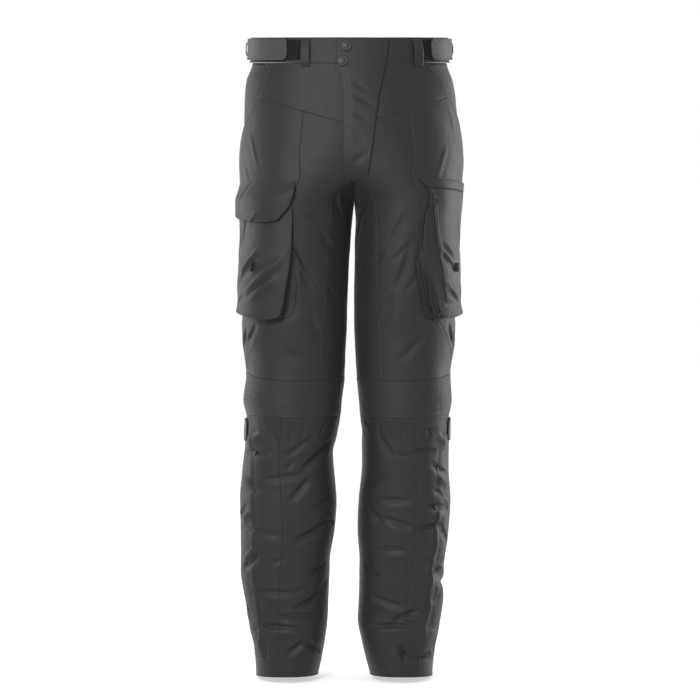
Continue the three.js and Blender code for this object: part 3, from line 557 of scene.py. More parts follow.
TAB_TOP = 18
TAB_FOOT = -17
TAB_CORNER = 8
TAB_STAND = 3.4
TAB_WAVE = dict(height=0.5, across=12, sway=1.3, down=3, start=0.8)
HOOK_TOP = 16
HOOK_FOOT = -16
HOOK_WALL = 1.4
HOOK_SHORT = 6
ADJUSTERS = {"right": dict(hook=-53, front=-44, back=0), "left": dict(hook=-33, front=-28, back=14)}
PULL = dict(width=9, top=12, foot=-10, stand=5.7, bow=1.6, thickness=1.4, right=-4, left=4)
PIPING_HEIGHT = 1.7
PIPING_STAND = 1.2
PIPING_FRONT = {"right": -50, "left": -33}
PIPING_BACK = 24
PIPING_STEPS = 90
PIPING_SIDES = 10
PIPING_TAPER = dict(front=30, back=5, least=0.25)
KNEE_TAB = dict(top=-608, foot=-644, front=-24, back=22, stand=1.3)
STORM_PORTION = 0.14
STORM_TOP = -634
STORM_FOOT = -990
STORM_SEAT = 0.35
STORM_WALL = 1.0
STORM_LIP = 0.25
STORM_REACH = 4.5

# Ridge and trough along that flap: their heights on each leg, and the length of their swell
STORM_WAVE = {"right": (0.7, 0.8), "left": (3.0, 2.4)}
STORM_SWELL = 52
STORM_CREST = -808
STORM_WAVE_TOP = -740
STORM_WAVE_FOOT = -968
STORM_FADE = 45
STORM_RIDGE = dict(away=1, sway=1.5, wide=2.9)
STORM_TROUGH = dict(away=9, wide=4.6)


def mix(a, b, t):
    return a + (b - a) * t


def smooth(t):
    c = np.clip(t, 0, 1)
    return c * c * (3 - 2 * c)


def follow(rows, column):
    """A smooth curve through one column of a table, which never swings past its rows."""
    key = next(iter(rows))
    order = np.argsort(rows[key])
    at = rows[key][order]
    value = rows[column][order]
    step = np.diff(at)
    rise = np.diff(value) / step
    slope = np.empty(len(at))
    slope[0] = rise[0]
    slope[-1] = rise[-1]
    total = rise[:-1] + rise[1:]
    product = rise[:-1] * rise[1:]
    slope[1:-1] = np.where(product > 0, 2 * product / np.where(total == 0, 1, total), 0)

    def curve(wanted):
        where = np.clip(wanted, at[0], at[-1])
        i = np.clip(np.searchsorted(at, where, side="right") - 1, 0, len(step) - 1)
        t = (where - at[i]) / step[i]
        s = 1 - t
        low = (1 + 2 * t) * s * s * value[i] + t * s * s * step[i] * slope[i]
        high = t * t * (3 - 2 * t) * value[i + 1] - t * t * s * step[i] * slope[i + 1]
        return low + high

    return curve


def straight(rows, column):
    key = next(iter(rows))
    return lambda wanted: np.interp(wanted, rows[key], rows[column])


front_at = follow(SECTIONS, "front")
back_at = follow(SECTIONS, "back")
hem_dip = follow(HEM_DIP, "dip")
rise_x = follow(RISE, "x")
parted_at = follow(RISE, "parted")


class Leg:
    """One leg with its half of the hips. side is -1 for the wearer's right and 1 for the left."""

    def __init__(self, name, side):
        self.name = name
        self.side = side
        self.reach = follow(SECTIONS, name)
        self.inseam = follow(INSEAMS, name)
        self.front_seam = follow(FRONT_SEAM, name)
        self.inner_seam = follow(INNER_SEAM, name)
        self.side_seam = follow(SIDE_SEAM, name)
        self.shin_seam = follow(SHIN_SEAM, name)
        self.calf_seam = follow(CALF_SEAM, name)
        self.pocket_edge = follow(POCKET_EDGE, name)
        self.pouch_front = follow(POUCH_FRONT, name)
        self.yoke_dip = straight(YOKE_DIP[name], "dip")
        self.knee_top_dip = follow(KNEE_TOP_DIP, name)
        self.knee_foot_dip = follow(KNEE_FOOT_DIP, name)
        self.folds = FOLDS[name]
        self.pouch_folds = POUCH_FOLDS[name]


LEGS = {"right": Leg("right", -1), "left": Leg("left", 1)}


def section(leg, z):
    """Middle, half width, y and half depth of the oval that a leg follows at each height."""
    reach = leg.reach(z)
    edge = leg.side * rise_x(z) + SEAM / 2
    part = parted_at(z)
    share = (1 - part) / (1 + part)
    inner = np.where(z > FORK, edge - (reach - edge) * share, leg.inseam(z))
    return (
        (reach + inner) / 2,
        (reach - inner) / 2,
        (front_at(z) + back_at(z)) / 2,
        (back_at(z) - front_at(z)) / 2,
    )


def centre_angle(leg, z):
    """The angle at which the oval meets the rise seam, or 180 at the inseam."""
    z = np.asarray(z, float)
    cut = parted_at(z)
    middle, half, y, depth = section(leg, z)
    height = depth * (1 - np.clip(cut, 0, 1) ** SQUARENESS) ** (1 / SQUARENESS)
    met = np.degrees(np.arctan2(height, -cut * half))
    return np.where((z <= FORK) | (cut >= 1), 180.0, met)


def radius_at(half, depth, angle):
    turn = np.radians(angle)
    a = np.abs(np.cos(turn) / half) ** SQUARENESS
    b = np.abs(np.sin(turn) / depth) ** SQUARENESS
    return (a + b) ** (-1 / SQUARENESS)


def lean(z):
    return LEAN * smooth((z - LEAN_FOOT) / (LEAN_TOP - LEAN_FOOT))


def on_form(leg, angle, z):
    middle, half, y, depth = section(leg, z)
    radius = radius_at(half, depth, angle)
    turn = np.radians(angle)
    px = leg.side * (middle + radius * np.cos(turn))
    py = y + radius * np.sin(turn)
    return np.stack([px, py, z + lean(z) * py], axis=-1)


def height_of(leg, angle, level):
    """Height of a level at an angle: the cross seams' dips, blended between them."""
    stops = (
        (BAND_FOOT, 0),
        (YOKE_FOOT, leg.yoke_dip(angle)),
        (YOKE_DIP_END, 0),
        (KNEE_DIP_START, 0),
        (KNEE_TOP, leg.knee_top_dip(angle)),
        (KNEE_FOOT, leg.knee_foot_dip(angle)),
        (mix(KNEE_FOOT, HEM, SHIN_DIP_SHARE), 0),
        (HEM, hem_dip(angle)),
    )
    z = level + 0.0 * angle
    for (top, dip), (foot, next_dip) in zip(stops, stops[1:]):
        inside = (level < top) & (level >= foot)
        t = (level - top) / (foot - top)
        z = np.where(inside, level + mix(dip, next_dip, t), z)
    return z


lattice = np.random.default_rng(11).uniform(-1, 1, (NOISE_CELLS,) * 3)


def noise(points, size):
    """Smooth noise in space, from -1 to 1, whose patches are about that size."""
    at = points / size
    low = np.floor(at).astype(int)
    t = at - low
    t = t * t * (3 - 2 * t)
    total = np.zeros(points.shape[:-1])
    for corner in np.ndindex(2, 2, 2):
        index = tuple((low[..., i] + corner[i]) % NOISE_CELLS for i in range(3))
        weight = np.ones(points.shape[:-1])
        for i in range(3):
            weight = weight * (t[..., i] if corner[i] else 1 - t[..., i])
        total = total + weight * lattice[index]
    return total


def creases(leg, folds, angle, level):
    """Sum of the creases: each is a soft trough with low shoulders that fades out at its ends."""
    middle, half, y, depth = section(leg, level)
    radius = radius_at(half, depth, angle)
    total = np.zeros(np.broadcast(angle, level).shape)
    for row in zip(*folds.values()):
        at, turn, reach, width, deep, slant, bend = row
        sideways = np.radians(angle - turn) * radius
        upward = level - at
        c = math.cos(math.radians(slant))
        s = math.sin(math.radians(slant))
        along = (sideways * c + upward * s) / reach
        arch = bend * (1 - along * along)
        across = (upward * c - sideways * s - arch) / width
        across = across * np.where(across > 0, STEEP, GENTLE)
        fade = FOLD_GAIN * np.clip(1 - along * along, 0, 1) ** FOLD_END
        total -= deep * fade * (1 - SHOULDER * across * across) * np.exp(-across * across)
    return total


def place(leg, angle, level, out=0.0):
    """Points of the cloth, stood off by the given distance."""
    angle = np.asarray(angle, float)
    level = np.asarray(level, float)
    z = height_of(leg, angle, level)
    here = on_form(leg, angle, z)
    beside = on_form(leg, angle + 0.5, z) - here
    below = on_form(leg, angle, z - 1) - here
    normal = np.cross(below, beside) * leg.side
    normal /= np.linalg.norm(normal, axis=-1, keepdims=True)
    to_centre = centre_angle(leg, level) - np.abs(angle)
    stand = creases(leg, leg.folds, angle, level) * smooth(to_centre / FOLD_FADE)
    uneven = sum(height * noise(here, size) for size, height in UNEVEN)
    stand = stand + uneven * np.where(level > FORK, smooth(to_centre / FOLD_FADE), 1)
    return here + normal * (stand + out)[..., None]


def closed_up(length, last=True):
    """Places from 0 to 1 along a length, closer together beside an edge."""
    lead = np.array(EDGE_STEPS, float)
    tail = np.array(EDGE_STEPS if last else (0,), float)
    between = length - lead[-1] - tail[-1]
    if between < CELL:
        count = max(int(length / (CELL / 2)), 2)
        return np.linspace(0, 1, count + 1)
    count = max(int(round(between / CELL)), 1)
    middle = np.linspace(lead[-1], length - tail[-1], count + 1)
    return np.concatenate([lead[:-1], middle, length - tail[:-1][::-1]]) / length


def seam_relief(distance, kind):
    """Height of the cloth beside a seam, by the distance from its edge."""
    rows = STITCH_ROWS[kind]
    total = -SEAM_DROP * np.exp(-((distance / SEAM_ROLL) ** 2))
    if rows:
        outer = rows[-1] + 2 * STITCH_SPREAD
        total = total + FELL_HEIGHT * smooth(distance / SEAM_ROLL) * smooth((outer - distance) / FELL_EASE)
    for row in rows:
        total = total - STITCH_SINK * np.exp(-(((distance - row) / STITCH_SPREAD) ** 2))
    return total


def pucker(distance, run):
    sway = PUCKER_SWAY["turn"] * np.sin(run / PUCKER_SWAY["length"])
    wave = np.sin(run * 2 * math.pi / PUCKER_LENGTH + sway)
    return PUCKER_HEIGHT * wave * np.exp(-distance / PUCKER_REACH) * smooth(distance / SEAM_ROLL)


threads = {}


def sew(group, points, normals):
    """Adds a row of short bent stitches along a line of points."""
    steps = np.linalg.norm(np.diff(points, axis=0), axis=1)
    along = np.concatenate([[0], np.cumsum(steps)])
    count = int(along[-1] / STITCH_PITCH)
    if count < 1:
        return
    start = np.arange(count) * STITCH_PITCH + (along[-1] - count * STITCH_PITCH) / 2

    def at(where):
        spot = np.stack([np.interp(where, along, points[:, i]) for i in range(3)], axis=-1)
        up = np.stack([np.interp(where, along, normals[:, i]) for i in range(3)], axis=-1)
        return spot, up / np.linalg.norm(up, axis=-1, keepdims=True)

    rings = []
    ahead = at(start + STITCH_LENGTH)[0] - at(start)[0]
    ahead /= np.linalg.norm(ahead, axis=-1, keepdims=True)
    for share, lift in STITCH_BEND:
        spot, up = at(start + share * STITCH_LENGTH)
        side = np.cross(ahead, up)
        centre = spot + up * lift
        for turn in range(4):
            a = math.pi / 2 * turn
            rings.append(centre + THREAD_RADIUS * (math.cos(a) * side + math.sin(a) * up))
    threads.setdefault(group, []).append(np.stack(rings, axis=1))


def sew_at(group, leg, angle, level, out):
    base = place(leg, angle, level, out)
    sew(group, base, place(leg, angle, level, out + 1) - base)


def put(name, data):
    """A new object in the scene for a mesh, a camera or a light."""
    made = bpy.data.objects.new(name, data)
    bpy.context.scene.collection.objects.link(made)
    return made


def smooth_mesh(name, points, faces):
    """A smooth-shaded mesh from points in metres."""
    mesh = bpy.data.meshes.new(name)
    mesh.from_pydata(points, [], faces)
    mesh.polygons.foreach_set("use_smooth", [True] * len(mesh.polygons))
    return mesh


def collection_mesh(name, points, quads, triangles=(), uv=None, wear=None):
    """A piece from points in millimetres, with the map of its weave and its wear."""
    faces = [tuple(f) for f in quads] + [tuple(f) for f in triangles]
    mesh = smooth_mesh(name, (points * MM).tolist(), faces)
    if uv is not None:
        layer = mesh.uv_layers.new(name="weave")
        loops = np.empty(len(mesh.loops), int)
        mesh.loops.foreach_get("vertex_index", loops)
        layer.uv.foreach_set("vector", (uv[loops] * MM).astype(np.float32).ravel())
    if wear is not None:
        layer = mesh.attributes.new("wear", "FLOAT", "POINT")
        layer.data.foreach_set("value", wear.astype(np.float32))
    mesh.update()
    return put(name, mesh)


def grid_faces(numbers):
    """Quads between neighbouring rows and columns of a grid of point numbers."""
    a = numbers[:-1, :-1].ravel()
    b = numbers[1:, :-1].ravel()
    c = numbers[1:, 1:].ravel()
    d = numbers[:-1, 1:].ravel()
    return np.stack([a, b, c, d], axis=1)


def lace(outer, inner, chosen):
    """Triangles between an edge and a coarser one, whose points lie at the chosen places of it."""
    made = []
    for k in range(len(chosen) - 1):
        first, last = chosen[k], chosen[k + 1]
        half = (first + last) // 2
        for i in range(first, half):
            made.append((outer[i], outer[i + 1], inner[k]))
        made.append((outer[half], inner[k + 1], inner[k]))
        for i in range(half, last):
            made.append((outer[i], outer[i + 1], inner[k + 1]))
    return made


def every(count, stride):
    chosen = list(range(0, count, stride))
    if chosen[-1] != count - 1:
        chosen.append(count - 1)
    return np.array(chosen)


def shell(name, outer, inner, rows, columns, wear):
    """A closed thin wall between a fine outer grid and a coarser inner one."""
    outside = np.arange(outer.shape[0] * outer.shape[1]).reshape(outer.shape[:2])
    inside = outside.size + np.arange(inner.shape[0] * inner.shape[1]).reshape(inner.shape[:2])
    quads = np.concatenate([grid_faces(outside), grid_faces(inside)[:, ::-1]])
    rims = []
    rims += lace(outside[0], inside[0], columns)
    rims += [(a, c, b) for a, b, c in lace(outside[-1], inside[-1], columns)]
    rims += [(a, c, b) for a, b, c in lace(outside[:, 0], inside[:, 0], rows)]
    rims += lace(outside[:, -1], inside[:, -1], rows)
    rims = np.array(rims)
    points = np.concatenate([outer.reshape(-1, 3), inner.reshape(-1, 3)])
    middle = (outer.shape[0] // 2, outer.shape[1] // 2)
    down = outer[middle] - outer[middle[0] - 1, middle[1]]
    across = outer[middle] - outer[middle[0], middle[1] - 1]
    near = inner[inner.shape[0] // 2, inner.shape[1] // 2]
    outward = np.dot(np.cross(down, across), outer[middle] - near)
    if outward < 0:
        quads = quads[:, ::-1]
        rims = rims[:, ::-1]
    across_at = np.linalg.norm(np.diff(outer, axis=1), axis=2).cumsum(axis=1)
    across_at = np.concatenate([np.zeros((outer.shape[0], 1)), across_at], axis=1)
    down_at = np.linalg.norm(np.diff(outer, axis=0), axis=2).mean(axis=1).cumsum()
    down_at = np.concatenate([[0], down_at])[:, None] + 0 * across_at
    uv = np.stack([across_at, down_at], axis=-1)
    inner_uv = uv[np.ix_(rows, columns)]
    uv = np.concatenate([uv.reshape(-1, 2), inner_uv.reshape(-1, 2)])
    worn = np.concatenate([wear.ravel(), wear[np.ix_(rows, columns)].ravel()])
    piece = collection_mesh(name, points, quads, rims, uv, worn)
    piece["cut"] = [float(across_at[:, -1].max()), float(down_at[-1, 0]), float(across_at[:, -1].mean())]
    return piece


def dress(piece, slot_name, material=None):
    """Gives a piece its material, picked by its slot name, and its body."""
    piece.data.materials.append(material or LOOKS[slot_name])
    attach(piece, "root")
    return piece


def declare(piece, node, slot_name="shell_cloth", held="hung", rests_on=(), material=None):
    """Dresses a piece in the cloth it is cut from and hides the imported part of the node it stands for.
    """
    dress(piece, slot_name, material)
    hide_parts(node)


def worn_at(away):
    """Wear along an edge that is rolled under, by the distance from it."""
    return np.exp(-(((away - SEAM_ROLL) / WEAR_WIDTH) ** 2))


def mean_width(leg, front, back, levels):
    """Mean distance in millimetres between two seams along a panel."""
    at = np.linspace(levels[0], levels[-1], 9)
    middle, half, y, depth = section(leg, at)
    return float(np.mean(np.radians(back(at) - front(at)) * (half + depth) / 2))


def edge_distances(points):
    """How far each point of a grid lies from the grid's four edges, along the cloth."""
    across = np.linalg.norm(np.diff(points, axis=1), axis=2)
    down = np.linalg.norm(np.diff(points, axis=0), axis=2)
    from_front = np.pad(np.cumsum(across, axis=1), ((0, 0), (1, 0)))
    from_top = np.pad(np.cumsum(down, axis=0), ((1, 0), (0, 0)))
    return {
        "front": from_front,
        "back": from_front[:, -1:] - from_front,
        "top": from_top,
        "foot": from_top[-1:] - from_top,
    }


def cloth_piece(node, leg, grids, thickness, edges, group, extra=None, stride=INNER_STRIDE, **said):
    """One piece of cloth on the form, from grids of angles, levels and heights off the form.
    edges names the sewing at its front, back, top and foot edges, extra adds height of its own,
    and what is said of the piece goes to declare."""
    angle, level, stand = grids
    stand = stand + 0 * angle
    distance = edge_distances(place(leg, angle, level, stand))
    relief = np.zeros(angle.shape) if extra is None else extra + 0 * angle
    wear = np.zeros(angle.shape)
    for edge, kind in edges.items():
        if kind == "none":
            continue
        away = distance[edge]
        along = distance["top"] if edge in ("front", "back") else distance["front"]
        relief = relief + seam_relief(away, kind) + pucker(away, along)
        wear = np.maximum(wear, worn_at(away))
    outer = place(leg, angle, level, stand + relief)
    rows = every(angle.shape[0], stride)
    columns = every(angle.shape[1], INNER_STRIDE)
    some = np.ix_(rows, columns)
    inner = place(leg, angle[some], level[some], (stand - thickness)[some])
    for edge, kind in edges.items():
        for inward in STITCH_ROWS[kind]:
            sew_edge(group, leg, (angle, level, stand + relief), distance, edge, inward)
    declare(shell(f"cloth_{node}", outer, inner, rows, columns, wear), node, **said)


def sew_edge(group, leg, grids, distance, edge, inward):
    """A row of stitches along one edge of a piece, at a distance inside it."""
    turned = edge in ("front", "back")
    others = ("top", "foot") if turned else ("front", "back")
    away = distance[edge] if turned else distance[edge].T
    flip = slice(None, None, -1) if edge in ("back", "foot") else slice(None)
    chosen = []
    for i, line in enumerate(away):
        line = line[flip]
        if line[-1] < 1.6 * inward:
            continue
        spot = []
        for grid in (*grids, distance[others[0]], distance[others[1]]):
            values = (grid[i] if turned else grid[:, i])[flip]
            spot.append(np.interp(inward, line, values))
        if min(spot[3:]) > 0.8 * inward:
            chosen.append(spot[:3])
    if len(chosen) > 2:
        angle, level, out = np.array(chosen).T
        sew_at(group, leg, angle, level, out)


def panel(stem, leg, front, back, top, foot, edges, options=None, **said):
    """One panel of a leg between two seams and two levels."""
    options = options or {}
    across = closed_up(mean_width(leg, front, back, (top, foot)))
    down = options.get("rows", closed_up(top - foot))
    level = mix(top - SEWN, foot + SEWN, down)[:, None] + 0 * across
    inset = np.degrees(SEWN / section(leg, level)[1])
    angle = mix(front(level) + inset, back(level) - inset, across[None, :])
    if "level" in options:
        level = options["level"](angle, across[None, :], down[:, None])
    extra = None
    if "relief" in options:
        extra = options["relief"](angle, level, across, down)
    thickness = options["thickness"](angle, level) if "thickness" in options else WALL
    group = f"{leg.name}_{'upper' if foot >= KNEE_TOP else 'lower'}"
    stand = options["stand"](angle, level) if "stand" in options else 0.0
    stride = options.get("stride", INNER_STRIDE)
    node = f"{stem}_{leg.name}"
    cloth_piece(node, leg, (angle, level, stand), thickness, edges, group, extra, stride, **said)


# Materials

class Nodes:
    """Short calls for building a material's node tree."""

    def __init__(self, name):
        self.material = bpy.data.materials.new(name)
        self.material.use_nodes = True
        self.tree = self.material.node_tree
        self.shader = self.tree.nodes["Principled BSDF"]

    def add(self, kind, **values):
        node = self.tree.nodes.new(kind)
        for key, value in values.items():
            if hasattr(node, key):
                setattr(node, key, value)
            else:
                node.inputs[key].default_value = value
        return node

    def link(self, source, target):
        self.tree.links.new(source, target)

    def math(self, operation, first, second=None):
        node = self.add("ShaderNodeMath", operation=operation)
        for socket, value in zip(node.inputs, (first, second)):
            if isinstance(value, (int, float)):
                socket.default_value = value
            elif value is not None:
                self.link(value, socket)
        return node.outputs[0]

    def noise(self, vector, scale, detail=2.0):
        node = self.add("ShaderNodeTexNoise", Scale=scale, Detail=detail)
        self.link(vector, node.inputs["Vector"])
        return node.outputs["Fac"]

    def where(self):
        return self.add("ShaderNodeTexCoord").outputs["Object"]

    def ranged(self, value, low, high, span=(0, 1)):
        """A value stretched from its span to between low and high."""
        node = self.add("ShaderNodeMapRange")
        for key, number in zip(("From Min", "From Max", "To Min", "To Max"), (*span, low, high)):
            node.inputs[key].default_value = number
        self.link(value, node.inputs["Value"])
        return node.outputs["Result"]

    def drive(self, key, source):
        self.link(source, self.shader.inputs[key])

    def set(self, **values):
        """Constants on the shader's own sockets, whose names have spaces for underscores."""
        for key, value in values.items():
            self.shader.inputs[key.replace("_", " ")].default_value = value

    def shade(self, colour, scale):
        """The base colour, darker or lighter by a scale."""
        node = self.add("ShaderNodeVectorMath", operation="SCALE")
        node.inputs[0].default_value = colour
        self.link(scale, node.inputs["Scale"])
        self.drive("Base Color", node.outputs["Vector"])

    def ramp(self, value, dark, light):
        """The base colour, from dark to light along a value."""
        node = self.add("ShaderNodeValToRGB")
        node.color_ramp.elements[0].color = (*dark, 1)
        node.color_ramp.elements[1].color = (*light, 1)
        self.link(value, node.inputs["Fac"])
        self.drive("Base Color", node.outputs["Color"])

    def bump(self, height, strength, distance):
        node = self.add("ShaderNodeBump", Strength=strength, Distance=distance * MM)
        self.link(height, node.inputs["Height"])
        self.drive("Normal", node.outputs["Normal"])


def weave_height(nodes, pitch):
    """Plain weave: threads that pass over and under each other, from the cloth's own map."""
    where = nodes.add("ShaderNodeUVMap", uv_map="weave")
    apart = nodes.add("ShaderNodeSeparateXYZ")
    nodes.link(where.outputs["UV"], apart.inputs[0])
    turn = math.pi / (pitch * MM)
    across = nodes.math("SINE", nodes.math("MULTIPLY", apart.outputs["X"], turn))
    down = nodes.math("SINE", nodes.math("MULTIPLY", apart.outputs["Y"], turn))
    return nodes.math("MULTIPLY", across, down), where.outputs["UV"]


def cloth_material(name, colour, roughness, sheen, pitch, bump, spread=0.1, wear=0.12, specular=0.3):
    """Woven cloth: weave, slubs, patches of slightly other colour, and edges that are worn light."""
    nodes = Nodes(name)
    height, flat = weave_height(nodes, pitch)
    patches = nodes.noise(nodes.where(), 14.0, 3.0)
    slub = nodes.noise(flat, 420.0, 2.0)
    stretched = nodes.add("ShaderNodeMapping")
    stretched.inputs["Scale"].default_value = (1, 6, 1)
    nodes.link(flat, stretched.inputs["Vector"])
    threads_seen = nodes.noise(stretched.outputs["Vector"], 160.0, 1.0)
    worn = nodes.add("ShaderNodeAttribute", attribute_name="wear").outputs["Fac"]
    tone = nodes.math("ADD", nodes.math("MULTIPLY", patches, 0.45), nodes.math("MULTIPLY", slub, 0.3))
    tone = nodes.math("ADD", tone, nodes.math("MULTIPLY", threads_seen, 0.25))
    uneven = nodes.ranged(tone, 1 - spread, 1 + spread, (0.3, 0.7))
    rubbed = nodes.math("MULTIPLY", worn, nodes.math("MULTIPLY", patches, wear))
    nodes.shade(colour, nodes.math("ADD", uneven, rubbed))
    nodes.drive("Roughness", nodes.ranged(patches, roughness - 0.06, roughness + 0.06))
    relief = nodes.math("ADD", nodes.math("MULTIPLY", height, 0.5), nodes.math("MULTIPLY", slub, 0.9))
    nodes.bump(relief, bump, 0.14)
    nodes.set(Specular_IOR_Level=specular, Sheen_Weight=sheen, Sheen_Roughness=0.42)
    return nodes.material


def hook_material():
    """Hook tape: rows of tiny hooks seen as a fine rough grid."""
    nodes = Nodes("hook_tape")
    height, flat = weave_height(nodes, 1.4)
    dots = nodes.noise(flat, 900.0, 1.0)
    nodes.bump(nodes.math("ADD", height, dots), 0.9, 0.4)
    nodes.ramp(dots, (0.006, 0.006, 0.007), (0.014, 0.014, 0.015))
    nodes.set(Roughness=0.8, Specular_IOR_Level=0.05)
    return nodes.material


def moulded_material(name, colour, roughness):
    """Moulded plastic with a fine grain and faint handling marks."""
    nodes = Nodes(name)
    nodes.bump(nodes.noise(nodes.where(), 1400.0, 2.0), 0.35, 0.08)
    marks = nodes.noise(nodes.where(), 90.0, 4.0)
    nodes.shade(colour, nodes.math("ADD", nodes.math("MULTIPLY", marks, 0.4), 0.8))
    nodes.drive("Roughness", nodes.math("ADD", nodes.math("MULTIPLY", marks, 0.2), roughness - 0.1))
    nodes.set(Specular_IOR_Level=0.3)
    return nodes.material


CLOTH = cloth_material("shell_cloth", (0.012, 0.012, 0.0125), 0.5, 0.06, 0.62, 0.55, specular=0.17)
RIBBED = cloth_material("ribbed_cloth", (0.0135, 0.0135, 0.014), 0.52, 0.08, 0.5, 0.35, specular=0.18)
TAB = cloth_material("tab_cloth", (0.03, 0.03, 0.031), 0.5, 0.08, 0.55, 0.5, specular=0.17)
WEBBING = cloth_material("webbing", (0.012, 0.012, 0.013), 0.6, 0.1, 1.1, 0.9, specular=0.15)
PIPING = cloth_material("piping", (0.12, 0.12, 0.122), 0.4, 0.2, 0.5, 0.3, spread=0.04)
THREAD = cloth_material("thread", (0.013, 0.013, 0.0135), 0.5, 0.08, 0.3, 0.4, specular=0.17)
HOOKS = hook_material()
SNAP = moulded_material("snap_button", (0.012, 0.012, 0.0125), 0.5)
ZIP = moulded_material("zip_teeth", (0.018, 0.018, 0.019), 0.36)
LOOKS = dict(
    shell_cloth=CLOTH, ribbed_cloth=RIBBED, tab_cloth=TAB, webbing=WEBBING,
    hook_tape=HOOKS, piping=PIPING, zip=ZIP, snap_button=SNAP,
)


# Waist

def centre_front(leg):
    """The rise seam at the front. It dips with the level, so its angle is found in a few steps."""
    def at(level):
        angle = -100.0 + 0 * np.asarray(level, float)
        for _ in range(6):
            angle = -centre_angle(leg, height_of(leg, angle, level))
        return angle
    return at


def fixed(value):
    return lambda level: value + 0.0 * np.asarray(level, float)


def add_waistband():
    sewn = dict(front="none", back="plain", top="single", foot="single")
    for leg in LEGS.values():
        side = fixed(leg.side_seam(BAND_FOOT))
        panel("waistband_front", leg, centre_front(leg), side, BAND_TOP, BAND_FOOT, sewn)
    add_back_band(sewn)


def add_back_band(sewn):
    """The back of the waistband in one piece, across both halves."""
    outers = []
    inners = []
    for leg in (LEGS["right"], LEGS["left"]):
        start = leg.side_seam(BAND_FOOT)
        end = float(centre_angle(leg, 0))
        down = closed_up(BAND_TOP - BAND_FOOT)
        level = mix(BAND_TOP, BAND_FOOT, down)[:, None]
        middle, half, y, depth = section(leg, 0)
        across = closed_up(math.radians(end - start) * (half + depth) / 2, last=False)
        angle = mix(start + SEWN, end, across)[None, :]
        level = level + 0 * angle
        angle = angle + 0 * level
        relief = seam_relief(level[0] - level, "single") + seam_relief(level - level[-1], "single")
        outer = place(leg, angle, level, relief)
        outers.append(outer)
        inners.append(place(leg, angle, level, -WALL))
        distance = edge_distances(outer)
        for edge in ("top", "foot"):
            sew_edge("waist", leg, (angle, level, relief), distance, edge, STITCH_ROWS["single"][0])
    joined = []
    for first, second in (outers, inners):
        other = second[:, ::-1]
        middle = (first[:, -1:] + other[:, :1]) / 2
        joined.append(np.concatenate([first[:, :-1], middle, other[:, 1:]], axis=1))
    outer, inner = joined
    rows = every(outer.shape[0], INNER_STRIDE)
    columns = every(outer.shape[1], INNER_STRIDE)
    wear = np.zeros(outer.shape[:2])
    wear[:2] = 1
    made = shell("cloth_waistband_back", outer, inner[np.ix_(rows, columns)], rows, columns, wear)
    declare(made, "waistband_back")


# Hips and thighs

def add_hip(leg):
    sewn = dict(front="none", back="double", top="plain", foot="plain")
    panel("front_yoke", leg, centre_front(leg), leg.pocket_edge, BAND_FOOT, YOKE_FOOT, sewn)

    def lowered(angle, across, down):
        hang = mix(FACING["front"], FACING["back"], across)
        return mix(BAND_FOOT - SEAM, YOKE_FOOT - hang, down)

    panel(
        "hip_pocket_facing", leg,
        lambda level: leg.pocket_edge(level) - FACING["tuck"],
        leg.side_seam, BAND_FOOT, YOKE_FOOT,
        dict(front="none", back="plain", top="plain", foot="none"),
        dict(level=lowered, stand=lambda angle, level: -WALL - POCKET_SINK + 0 * angle),
    )


def beside_pouch(leg):
    """The thigh sinks into a pleat along the cargo pocket's front edge, wider towards its foot."""
    def relief(angle, level, across, down):
        middle, half, y, depth = section(leg, level)
        away = np.radians(angle - leg.pouch_front(level)) * radius_at(half, depth, angle)
        fallen = np.clip((POUCH_TOP - level) / (POUCH_TOP - POUCH_FOOT), 0, 1)
        opened = (fallen - PLEAT["start"]) / (PLEAT["full"] - PLEAT["start"])
        along = smooth(opened) * smooth((level - POUCH_FOOT) / PLEAT["foot"])
        width = mix(PLEAT["narrow"], PLEAT["wide"], fallen)
        past = (away + width) / width
        fall = np.where(past > 0, past ** 4, (past / PLEAT["ease"]) ** 2)
        return -PLEAT["depth"] * along * np.exp(-fall)
    return relief


def add_thigh(leg):
    rise = centre_front(leg)
    panel(
        "front_thigh", leg,
        lambda level: np.maximum(rise(level), leg.inner_seam(level)),
        leg.front_seam, YOKE_FOOT, KNEE_TOP,
        dict(front="plain", back="double", top="double", foot="plain"),
        dict(relief=beside_pouch(leg)),
    )
    panel(
        "inner_thigh", leg, rise, leg.inner_seam, INNER_SEAM_TOP, KNEE_TOP,
        dict(front="none", back="double", top="none", foot="plain"),
    )
    panel(
        "side_thigh", leg, leg.front_seam, leg.side_seam, YOKE_FOOT, KNEE_TOP,
        dict(front="plain", back="plain", top="double", foot="plain"),
        dict(relief=beside_pouch(leg)),
    )
    panel(
        "seat", leg, leg.side_seam, lambda level: centre_angle(leg, level), BAND_FOOT, KNEE_TOP,
        dict(front="double", back="plain", top="plain", foot="plain"),
    )


# Knees and lower legs

def add_knee(leg):
    rib_rows = np.linspace(0, 1, RIBS * RIB_STEPS + 1)

    def ribbed(angle, level, across, down):
        wave = np.abs(np.sin(math.pi * RIBS * down))[:, None] ** 0.8
        return RIB_HEIGHT * wave + 0 * angle

    top = KNEE_TOP
    foot = KNEE_FOOT
    plain = dict(front="none", back="plain", top="none", foot="none")
    options = dict(rows=rib_rows, relief=ribbed, stride=RIB_STEPS)
    front = fixed(BACK_KNEE_FRONT)
    panel("knee_ribs", leg, fixed(-180), front, top, foot, plain, options, slot_name="ribbed_cloth")
    sewn = dict(front="double", back="none", top="single", foot="single")
    panel("back_knee", leg, front, fixed(180), top, foot, sewn)


def hem_wall(angle, level):
    return np.where(level < HEM + HEM_DEPTH, HEM_WALL, WALL)


def from_calf_seam(leg, angle, level):
    middle, half, y, depth = section(leg, level)
    return np.radians(angle - leg.calf_seam(level)) * radius_at(half, depth, angle)


